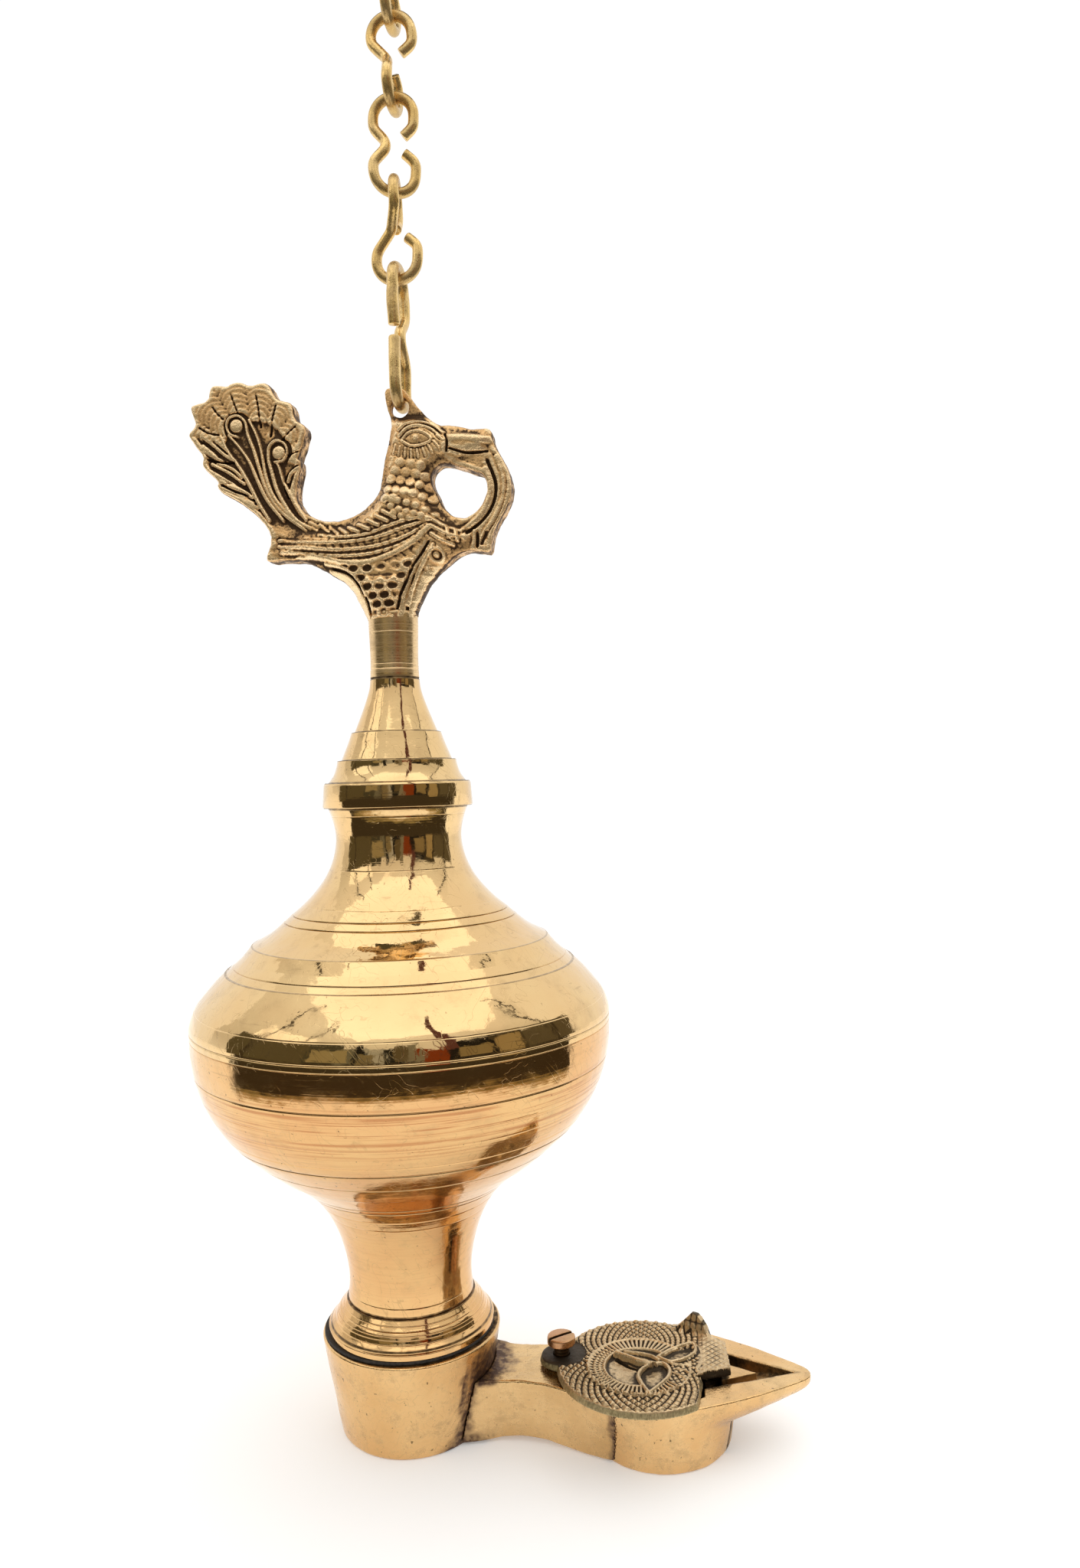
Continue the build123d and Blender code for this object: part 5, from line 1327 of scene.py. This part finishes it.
def turned_brass(name, base, second, rough=0.13, lines=1.0, pits=0.4, stain=0.35, groove=None, streaks=False):
    """Lathe-turned and buffed brass: circumferential tool lines, hairline breaks in them, pits and rub marks."""
    m = Mat(name)
    x, y, z = m.xyz(m.pos)
    r = m.math("SQRT", m.add(m.mul(x, x), m.mul(y, y)))
    u = m.add(z, m.mul(r, 0.7))
    inv = m.math("DIVIDE", 1.0, m.math("MAXIMUM", r, 1.0))
    ct, st = m.mul(x, inv), m.mul(y, inv)
    fine = m.noise1(u, 2.6, 3.0, 0.6)
    mid = m.noise1(u, 0.55, 2.0, 0.5)
    # broken lines: the tool mark fades in and out round the piece
    brk = m.noise(m.join(m.mul(ct, 3.2), m.mul(st, 3.2), m.mul(u, 1.9)), 1.0, 2.0)
    brk2 = m.noise(m.join(m.mul(ct, 9.0), m.mul(st, 9.0), m.mul(u, 3.4)), 1.0, 2.0)
    hair = m.span(brk, 0.66, 0.74)
    hair2 = m.span(brk2, 0.68, 0.76)
    wide = m.noise(m.pos, 0.045, 3.0, 0.6)
    blot = m.noise(m.pos, 0.16, 4.0, 0.6)
    grime = m.noise(m.pos, 0.9, 3.0, 0.6)
    col = m.mix(m.span(wide, 0.35, 0.66), base, second)
    col = m.mix(m.mul(m.span(blot, 0.50, 0.74), stain), col, TAN)
    col = m.mix(m.mul(hair, 0.40), col, TAN)
    col = m.mix(m.mul(hair2, 0.22), col, (0.30, 0.19, 0.09))
    pit = m.span(m.noise(m.pos, 1.15, 2.0, 0.5), 0.70, 0.78)
    col = m.mix(m.mul(pit, pits), col, DARK)
    sc = m.add(m.scratches(0.30, 0.012, 1.0), m.add(m.scratches(0.42, 0.010, 2.3), m.scratches(0.36, 0.011, 4.1)))
    col = m.mix(m.mul(m.math("MINIMUM", sc, 1.0), 0.28), col, (0.34, 0.22, 0.10))
    rgh = m.add(m.span(fine, 0.30, 0.75, rough * 0.72, rough * 1.35), m.mul(m.span(blot, 0.45, 0.75), 0.08))
    rgh = m.add(rgh, m.add(m.mul(hair, 0.10), m.mul(m.math("MINIMUM", sc, 1.0), 0.10)))
    rgh = m.add(rgh, m.mul(m.span(grime, 0.52, 0.75), 0.05))
    h = m.add(m.mul(fine, 0.35 * lines), m.mul(mid, 1.0 * lines))
    nrm = m.bump(h, 0.010)
    nrm = m.bump(m.add(m.mul(m.noise(m.pos, 0.10, 2.0), 1.0), m.mul(m.noise(m.pos, 0.4, 2.0), 0.14)), 0.22, nrm)
    nrm = m.bump(m.math("SUBTRACT", m.mul(hair, -0.4), m.add(m.mul(pit, 1.0), m.mul(m.math("MINIMUM", sc, 1.0), 0.5))), 0.012, nrm)
    if streaks:
        # reddish broken rub lines round the bowl, where the polishing wheel caught
        sm = m.noise(m.join(m.mul(ct, 2.2), m.mul(st, 2.2), m.mul(u, 0.9)), 1.0, 3.0)
        sf = m.noise1(u, 0.95, 3.0, 0.65)
        band = m.mul(m.span(z, 80.0, 84.0), m.span(z, 94.5, 91.5))
        sk = m.mul(m.mul(m.span(sf, 0.47, 0.57), m.span(sm, 0.40, 0.56)), m.add(0.15, m.mul(band, 0.85)))
        col = m.mix(m.mul(sk, 0.75), col, (0.500, 0.215, 0.085))
        rgh = m.add(rgh, m.mul(sk, 0.08))
    if groove is not None:
        col, rgh = groove(m, x, y, z, r, col, rgh)
    return m.done(col, rgh, nrm)


def groove_shade(rows):
    """Darker bands along the turned grooves and steps, painted shade in them: (z, half width, strength). The band under
    the cap's flange is painted shadow of the flange.
    """
    def f(m, x, y, z, r, col, rgh):
        tot = None
        n = m.noise(m.pos, 0.5, 3.0)
        for zz, hw, k in rows:
            d = m.math("ABSOLUTE", m.math("SUBTRACT", z, zz))
            a = m.mul(m.span(d, hw * 0.35, hw, 1.0, 0.0), m.mul(m.span(n, 0.25, 0.6, 0.55, 1.0), k))
            tot = a if tot is None else m.math("MAXIMUM", tot, a)
        return m.mix(tot, col, DARK), m.add(rgh, m.mul(tot, 0.35))
    return f


def cast_brass(name, base, second, rough=0.27, cavity=None, dark=DARK, cav_lo=0.06, cav_hi=0.75, brushed=None, extra=None,
               pits=0.4, tint=(0.52, 0.35, 0.17), grain=0.0, metallic=1.0, highlight_color=(0.86, 0.66, 0.38), highlight_k=0.5):
    """Cast and filed brass, with a painted highlight on its high places and dark patina in its recesses."""
    m = Mat(name)
    x, y, z = m.xyz(m.pos)
    wide = m.noise(m.pos, 0.07, 3.0, 0.6)
    blot = m.noise(m.pos, 0.28, 4.0, 0.62)
    fine = m.noise(m.pos, 2.2, 3.0, 0.6)
    col = m.mix(m.span(wide, 0.36, 0.66), base, second)
    col = m.mix(m.mul(m.span(blot, 0.46, 0.74), 0.55), col, tint)
    pit = m.span(m.noise(m.pos, 0.85, 2.0, 0.5), 0.68, 0.77)
    col = m.mix(m.mul(pit, pits), col, DARK)
    sc = m.add(m.scratches(0.34, 0.013, 1.7), m.add(m.scratches(0.5, 0.012, 3.3), m.scratches(0.42, 0.012, 5.2)))
    sc = m.math("MINIMUM", sc, 1.0)
    col = m.mix(m.mul(sc, 0.25), col, (0.36, 0.24, 0.12))
    rgh = m.add(m.span(fine, 0.3, 0.75, rough * 0.8, rough * 1.3), m.mul(m.span(blot, 0.4, 0.75), 0.14))
    rgh = m.add(rgh, m.mul(sc, 0.08))
    h = m.add(m.mul(m.noise(m.pos, 0.55, 3.0), 1.0), m.mul(fine, 0.16))
    nrm = m.bump(h, 0.10)
    if brushed is not None:
        v = m.vec("MULTIPLY", m.pos, brushed)
        br = m.noise(v, 1.0, 3.0, 0.6)
        nrm = m.bump(br, 0.030, nrm)
        rgh = m.add(rgh, m.span(br, 0.35, 0.7, -0.03, 0.05))
        col = m.mix(m.mul(m.span(br, 0.58, 0.74), 0.22), col, tint)
    nrm = m.bump(m.mul(m.add(pit, m.mul(sc, 0.4)), -1.0), 0.02, nrm)
    gr = None
    if grain:
        gr = m.noise(m.pos, 1.55, 2.0, 0.6)
        nrm = m.bump(m.add(gr, m.mul(m.noise(m.pos, 4.2, 2.0, 0.6), 0.35)), 0.16 * grain, nrm)
    if cavity is not None:
        c = m.attr(cavity)
        g = m.add(m.span(c, cav_lo, cav_hi), m.mul(m.span(m.noise(m.pos, 0.8, 3.0), 0.45, 0.7), 0.12))
        if grain:
            g = m.add(g, m.mul(m.span(gr, 0.50, 0.36), m.mul(m.span(c, -0.25, 0.25), 0.75 * grain)))
        g = m.math("MINIMUM", g, 1.0)
        col = m.mix(m.mul(g, 0.95), col, dark)
        # painted highlight: the high places of the relief are mixed towards a light colour, standing in for light
        # catching them
        hi = m.span(c, -0.08, -0.50)
        col = m.mix(m.mul(hi, highlight_k), col, highlight_color)
        rgh = m.add(rgh, m.add(m.mul(g, 0.26), m.mul(hi, -0.07)))
    if extra is not None:
        col, rgh = extra(m, x, y, z, col, rgh)
    return m.done(col, rgh, nrm, metallic=metallic)


def soot_shade_flux(m, x, y, z, col, rgh):
    f, s = m.attr("flux"), m.attr("soot_and_shade")
    n = m.span(m.noise(m.pos, 0.7, 4.0), 0.3, 0.65, 0.55, 1.0)
    f = m.math("MINIMUM", m.mul(f, m.mul(n, 1.15)), 1.0)
    s = m.math("MINIMUM", m.mul(s, m.mul(n, 1.15)), 1.0)
    col = m.mix(m.mul(f, 0.92), col, FLUX)
    # dark soot, which in the wick trough is partly painted shade of its walls and corners
    col = m.mix(m.mul(s, 0.90), col, SOOT_AND_SHADE)
    return col, m.add(rgh, m.add(m.mul(f, 0.20), m.mul(s, 0.35)))


def filed_edge(m, x, y, z, col, rgh):
    f = m.attr("filed")
    v = m.vec("MULTIPLY", m.pos, (3.2, 3.2, 0.5))
    n = m.noise(v, 1.0, 2.0)
    g = m.mix(m.span(n, 0.35, 0.65), (0.50, 0.42, 0.22), (0.24, 0.20, 0.10))
    return m.mix(m.mul(f, 0.75), col, g), m.add(rgh, m.mul(f, 0.08))


def link_end_dark(m, x, y, z, col, rgh):
    # darker and rougher near the link's ends, where it hangs in its neighbour
    wn = m.attr("link_end")
    return m.mix(m.mul(wn, 0.35), col, (0.33, 0.22, 0.10)), m.add(rgh, m.mul(wn, 0.06))


def rubber_mat():
    m = Mat("seal_fibre")
    n = m.noise(m.pos, 1.2, 3.0)
    col = m.mix(m.span(n, 0.3, 0.7), (0.020, 0.017, 0.014), (0.055, 0.045, 0.036))
    return m.done(col, m.span(n, 0.3, 0.7, 0.55, 0.8), m.bump(n, 0.06), metallic=0.0, spec=0.3)


def plain_mat(name, color, rough=0.9, emit=0.0):
    m = bpy.data.materials.new(name)
    m.use_nodes = True
    p = m.node_tree.nodes["Principled BSDF"]
    p.inputs["Base Color"].default_value = (*color, 1)
    p.inputs["Roughness"].default_value = rough
    p.inputs["Specular IOR Level"].default_value = 0.1
    if emit:
        p.inputs["Emission Color"].default_value = (*color, 1)
        p.inputs["Emission Strength"].default_value = emit
    return m


# ------------------------------------------------------------------ build
def show(ob, body, slot_name, *nodes):
    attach(ob, body)
    if nodes:
        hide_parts(*nodes)
    return ob


N = 288
# painted shade in the shoulder's grooves and steps; the band at 154.4 is painted shadow under the cap's flange
m_upper = turned_brass("brass_shoulder", PALE, BRASS, 0.055, 1.5, 0.35, 0.30,
                       groove_shade([(102.5, 0.12, 0.50), (115.45, 0.13, 0.6), (116.9, 0.10, 0.4),
                                  (121.6, 0.13, 0.45), (126.9, 0.16, 0.75), (128.6, 0.16, 0.75), (154.4, 0.3, 0.7)]))
m_lower = turned_brass("brass_bowl", WARM, ROSE, 0.070, 1.9, 0.8, 0.30,
                       groove_shade([(92.4, 0.13, 0.55), (76.4, 0.20, 0.6), (71.7, 0.16, 0.45), (67.2, 0.2, 0.6), (61.1, 0.15, 0.6),
                                  (62.4, 0.15, 0.6), (32.5, 0.3, 0.85)]), streaks=True)
# painted shade in the cap's steps, and painted shadow on the underside of its flange at 154.6
m_cap = turned_brass("brass_cap", PALE, BRASS, 0.06, 1.0, 0.3, 0.3,
                     groove_shade([(154.6, 0.3, 0.8), (160.9, 0.3, 0.8), (166.4, 0.25, 0.9), (173.4, 0.25, 0.9), (186.7, 0.3, 0.9)]))
m_collar = turned_brass("brass_collar", WARM, ROSE, 0.08, 2.0, 0.4, 0.4,
                        groove_shade([(32.2, 0.3, 0.9), (26.6, 0.35, 0.9), (24.8, 0.2, 0.6)]))
m_base = cast_brass("brass_base", (0.765, 0.474, 0.205), (0.835, 0.550, 0.255), 0.17, brushed=(0.5, 0.5, 0.12), extra=soot_shade_flux, pits=0.75)
m_bridge = cast_brass("brass_bridge", (0.660, 0.425, 0.190), (0.790, 0.535, 0.258), 0.20, brushed=(0.12, 0.8, 0.8), extra=soot_shade_flux)
m_pan = cast_brass("brass_pan", (0.775, 0.482, 0.212), (0.840, 0.565, 0.272), 0.19, brushed=(0.2, 0.2, 0.9), extra=soot_shade_flux, pits=0.75)
# the lid and the bird carry a strong painted highlight on the high places of their relief
m_lid = cast_brass("brass_lid", (0.640, 0.470, 0.265), (0.740, 0.545, 0.315), 0.27, cavity="cavity", dark=(0.036, 0.026, 0.018),
                   cav_lo=0.0, cav_hi=0.50, extra=filed_edge, tint=(0.46, 0.33, 0.18), grain=0.40, metallic=0.84,
                   highlight_color=(0.97, 0.78, 0.52), highlight_k=0.85)
m_bird = cast_brass("brass_bird", (0.790, 0.465, 0.195), (0.900, 0.570, 0.255), 0.28, cavity="cavity", dark=(0.040, 0.018, 0.008),
                    cav_lo=0.02, cav_hi=0.62, tint=(0.56, 0.32, 0.13), grain=0.9, metallic=0.80, highlight_color=(1.00, 0.74, 0.42), highlight_k=0.9)
m_stem = turned_brass("brass_stem", (0.86, 0.60, 0.31), (0.88, 0.63, 0.34), 0.30, 1.4, 0.5, 0.6, groove_shade([(187.0, 0.3, 0.9)]))
m_wire = cast_brass("brass_wire", (0.760, 0.505, 0.180), (0.860, 0.610, 0.265), 0.22, extra=link_end_dark, pits=0.25, metallic=0.88)
m_screw = cast_brass("screw_copper_brass", (0.560, 0.300, 0.150), (0.640, 0.390, 0.190), 0.28, cavity="cavity", cav_lo=0.1, cav_hi=0.9)

show(make_turned("reservoir_shoulder", shoulder_parts(), m_upper, n=N, wob=0.05, seed=2), "vessel", "vessel_brass", "reservoir_upper")
show(make_turned("reservoir_bowl", bowl_parts(), m_lower, n=N, wob=0.05, seed=3), "vessel", "bowl_brass", "reservoir_lower")
show(make_turned("cone_cap_turned", cap_parts(), m_cap, n=N // 2, seed=4), "vessel", "vessel_brass", "cone_cap")
show(make_turned("collar_turned", collar_parts(), m_collar, n=N // 2, bevel=0.12, seed=6), "vessel", "bowl_brass", "threaded_collar")
show(make_stem(m_stem), "vessel", "bird_brass", "bird_finial")
show(make_bird(m_bird), "vessel", "bird_brass", "bird_finial")
show(make_cup(m_base), "base", "base_brass", "base_cup")
show(make_bridge(m_bridge), "base", "base_brass", "feed_bridge")
show(make_pan(m_pan), "base", "base_brass", "wick_pan")
show(make_screw(m_screw), "base", "screw_copper", "lid_screw")
show(make_lid(m_lid), "lid", "lid_brass", "pan_lid")

show(make_seal(rubber_mat()), "washer", "seal_fibre", "seal_washer")

for node, body, route, r, seed in (
        ("s_hook_link", "s_hook", s_hook_route(), HOOK_WIRE, 11),
        ("chain_link_lower", "link_lower", eight_link_route(*Z_LINKS[0], 0.0, 100.0), WIRE, 12),
        ("chain_link_middle", "link_middle", eight_link_route(*Z_LINKS[1], 24.0, 0.0), WIRE, 13),
        ("chain_link_upper", "link_upper", eight_link_route(*Z_LINKS[2], 90.0, 0.0), WIRE, 14),
        ("chain_link_top", "link_top", eight_link_route(*Z_LINKS[3], 90.0, 0.0), WIRE, 15),
        ("hanging_hook", "hook", hanging_hook_route(), HOOK_WIRE, 16)):
    show(wire_mesh(node + "_wire", *route, r, m_wire, seed), body, "chain_brass", node)


# ------------------------------------------------------------------ set
def plane(name, corners, mat):
    me = bpy.data.meshes.new(name)
    me.from_pydata([tuple(c) for c in corners], [], [(0, 1, 2, 3)])
    me.materials.append(mat)
    ob = bpy.data.objects.new(name, me)
    bpy.context.scene.collection.objects.link(ob)
    return ob


def aimed(kind, name, loc, target, size, energy, color=(1, 1, 1), size_y=None):
    d = bpy.data.lights.new(name, kind)
    d.energy = energy
    d.color = color
    if kind == "AREA":
        d.shape = "RECTANGLE" if size_y else "SQUARE"
        d.size = size
        if size_y:
            d.size_y = size_y
    ob = bpy.data.objects.new(name, d)
    bpy.context.scene.collection.objects.link(ob)
    d.specular_factor = 0.45
    ob.location = loc
    ob.rotation_euler = (Vector(target) - Vector(loc)).to_track_quat("-Z", "Y").to_euler()
    return ob


FLOOR_Z = OFF[2] * MM - 0.0001
world = bpy.data.worlds.new("studio")
bpy.context.scene.world = world
world.use_nodes = True
wt = world.node_tree
w_tc = wt.nodes.new("ShaderNodeTexCoord")
w_sep = wt.nodes.new("ShaderNodeSeparateXYZ")
wt.links.new(w_tc.outputs["Generated"], w_sep.inputs[0])
w_ramp = wt.nodes.new("ShaderNodeValToRGB")
w_map = wt.nodes.new("ShaderNodeMapRange")
w_map.inputs["From Min"].default_value = -1.0
w_map.inputs["From Max"].default_value = 1.0
wt.links.new(w_sep.outputs[2], w_map.inputs["Value"])
wt.links.new(w_map.outputs[0], w_ramp.inputs[0])
stops = [(0.0, (0.88, 0.88, 0.88)), (0.50, (0.86, 0.86, 0.86)), (0.60, (0.70, 0.69, 0.66)), (0.76, (0.76, 0.74, 0.70)),
         (0.93, (1.00, 1.00, 0.99)), (1.0, (0.86, 0.85, 0.82))]
while len(w_ramp.color_ramp.elements) < len(stops):
    w_ramp.color_ramp.elements.new(0.5)
for el, (p, c) in zip(w_ramp.color_ramp.elements, stops):
    el.position = p
for el, (p, c) in zip(w_ramp.color_ramp.elements, stops):
    el.color = (*c, 1)
wt.links.new(w_ramp.outputs[0], wt.nodes["Background"].inputs[0])
wt.nodes["Background"].inputs[1].default_value = 1.0

back_m = plain_mat("backdrop", (0.0, 0.0, 0.0), 1.0)
back_m.node_tree.nodes["Principled BSDF"].inputs["Emission Color"].default_value = (1, 1, 1, 1)
back_m.node_tree.nodes["Principled BSDF"].inputs["Emission Strength"].default_value = 1.03
plane("backdrop", [(-6, 1.3, FLOOR_Z), (6, 1.3, FLOOR_Z), (6, 1.3, 4), (-6, 1.3, 4)], back_m)
floor = plane("floor", [(-6, -0.245, FLOOR_Z), (6, -0.245, FLOOR_Z), (6, 1.6, FLOOR_Z), (-6, 1.6, FLOOR_Z)], plain_mat("paper", (0.93, 0.93, 0.93), 0.85, 0.22))


def card(name, az0, az1, el0, el1, dist, color, emit=0.0, centre=(0.0, 0.0, -0.31)):
    """A curved card round the lamp, az measured from straight in front (-Y), positive to the right."""
    n = 8
    vs, fs = [], []
    for i in range(n + 1):
        a = math.radians(az0 + (az1 - az0) * i / n)
        x, y = math.sin(a) * dist, -math.cos(a) * dist
        for el in (el0, el1):
            vs.append((centre[0] + x, centre[1] + y, centre[2] + math.tan(math.radians(el)) * dist))
    for i in range(n):
        fs.append((2 * i, 2 * i + 1, 2 * i + 3, 2 * i + 2))
    me = bpy.data.meshes.new(name)
    me.from_pydata(vs, [], fs)
    m = bpy.data.materials.new(name)
    m.use_nodes = True
    nt = m.node_tree
    nt.nodes.clear()
    o = nt.nodes.new("ShaderNodeOutputMaterial")
    e = nt.nodes.new("ShaderNodeEmission")
    e.inputs[0].default_value = (*color, 1)
    e.inputs[1].default_value = 1.0
    nt.links.new(e.outputs[0], o.inputs[0])
    me.materials.append(m)
    ob = bpy.data.objects.new(name, me)
    bpy.context.scene.collection.objects.link(ob)
    ob.visible_camera = False
    ob.visible_shadow = False
    ob.visible_diffuse = False
    return ob


# the dark side of the room behind the camera, as the polish shows it: blocks of different depth, measured from the
# direction of the camera, with a reddish one right of the middle and the paper's near edge below
CA = 15.8
BLOCKS = [(-100, -52, (0.100, 0.088, 0.050)), (-52, -35, (0.062, 0.060, 0.040)), (-35, -26, (0.150, 0.150, 0.120)),
          (-26, -21, (0.014, 0.013, 0.010)), (-21, -10, (0.380, 0.390, 0.380)), (-10, 1, (0.022, 0.021, 0.016)),
          (1, 8, (0.200, 0.190, 0.150)), (8, 21, (0.200, 0.045, 0.012)), (21, 46, (0.016, 0.014, 0.012)),
          (46, 66, (0.060, 0.050, 0.030)), (66, 100, (0.110, 0.095, 0.060))]
for i, (a0, a1, c) in enumerate(BLOCKS):
    card(f"room_{i}", CA + a0, CA + a1, -34.0, 29.0 + 4.0 * math.sin(i * 2.4), 0.95, c)
card("stand", CA + 20, CA + 27, 20.0, 68.0, 0.60, (0.110, 0.045, 0.040))
for i, (a0, a1, e0, e1, c) in enumerate([(-50, -30, 3, 24, (0.300, 0.260, 0.150)), (-24, -14, -6, 20, (0.200, 0.170, 0.100)),
                                        (-6, 2, 2, 30, (0.110, 0.090, 0.050)), (27, 44, -2, 22, (0.240, 0.190, 0.100)),
                                        (48, 62, -8, 26, (0.330, 0.260, 0.140))]):
    card(f"patch_{i}", CA + a0, CA + a1, e0, e1, 0.90, c)
card("edge_left", CA - 87.0, CA - 84.6, -20.0, 62.0, 0.85, (0.050, 0.040, 0.024))
card("edge_right", CA + 84.0, CA + 86.4, -20.0, 62.0, 0.85, (0.050, 0.040, 0.024))
card("edge_slant", CA - 60.0, CA - 58.0, 28.0, 60.0, 0.85, (0.070, 0.055, 0.030))


def ring(name, r0, r1, a0, a1, z, color):
    ob = card(name, 0, 1, 0, 1, 1.0, color)
    n = 24
    vs = []
    for i in range(n + 1):
        a = math.radians(a0 + (a1 - a0) * i / n)
        vs += [(-0.0035 + math.sin(a) * r, -math.cos(a) * r, z) for r in (r0, r1)]
    me = bpy.data.meshes.new(name + "_flat")
    me.from_pydata(vs, [], [(2 * i, 2 * i + 2, 2 * i + 3, 2 * i + 1) for i in range(n)])
    me.materials.append(ob.data.materials[0])
    ob.data = me
    return ob


def overhead(name, x0, x1, y0, y1, z, color):
    ob = card(name, 0, 1, 0, 1, 1.0, color)
    me = bpy.data.meshes.new(name + "_flat")
    me.from_pydata([(x0, y0, z), (x1, y0, z), (x1, y1, z), (x0, y1, z)], [], [(0, 1, 2, 3)])
    me.materials.append(ob.data.materials[0])
    ob.data = me
    return ob


overhead("hand", -0.09, 0.06, 0.005, 0.10, 0.06, (0.085, 0.075, 0.045))
ring("paper_edge_a", 0.212, 0.232, CA - 90, CA + 90, FLOOR_Z + 0.0004, (0.560, 0.450, 0.300))
ring("paper_edge_b", 0.232, 0.262, CA - 92, CA + 92, FLOOR_Z + 0.0005, (0.300, 0.250, 0.120))
ring("table_dark", 0.262, 1.0, CA - 94, CA + 94, FLOOR_Z + 0.0006, (0.052, 0.042, 0.026))

aimed("AREA", "top_soft", (0.1, -0.2, 1.5), (0, 0, -0.3), 2.2, 8.0)
aimed("AREA", "left_soft", (-1.5, -0.9, 0.5), (0, 0, -0.3), 1.2, 3.0, size_y=1.4)

cam_d = bpy.data.cameras.new("cam")
cam_d.lens = 24.374
cam_d.sensor_width = 36.0
cam_d.sensor_fit = "AUTO"
cam_d.clip_start = 0.01
cam_d.clip_end = 50
cam = bpy.data.objects.new("cam", cam_d)
bpy.context.scene.collection.objects.link(cam)
rt = Vector((0.98943869, 0.14248365, -0.02663605))
up = Vector((0.02575939, 0.00799408, 0.99963621))
fw = Vector((-0.14264475, 0.98976487, -0.00423936))
M = Matrix((rt, up, -fw)).transposed().to_4x4()
M.translation = Vector((0.070493, -0.261076, -0.251560))
cam.matrix_world = M
bpy.context.scene.camera = cam
bpy.context.scene.view_settings.view_transform = "Standard"
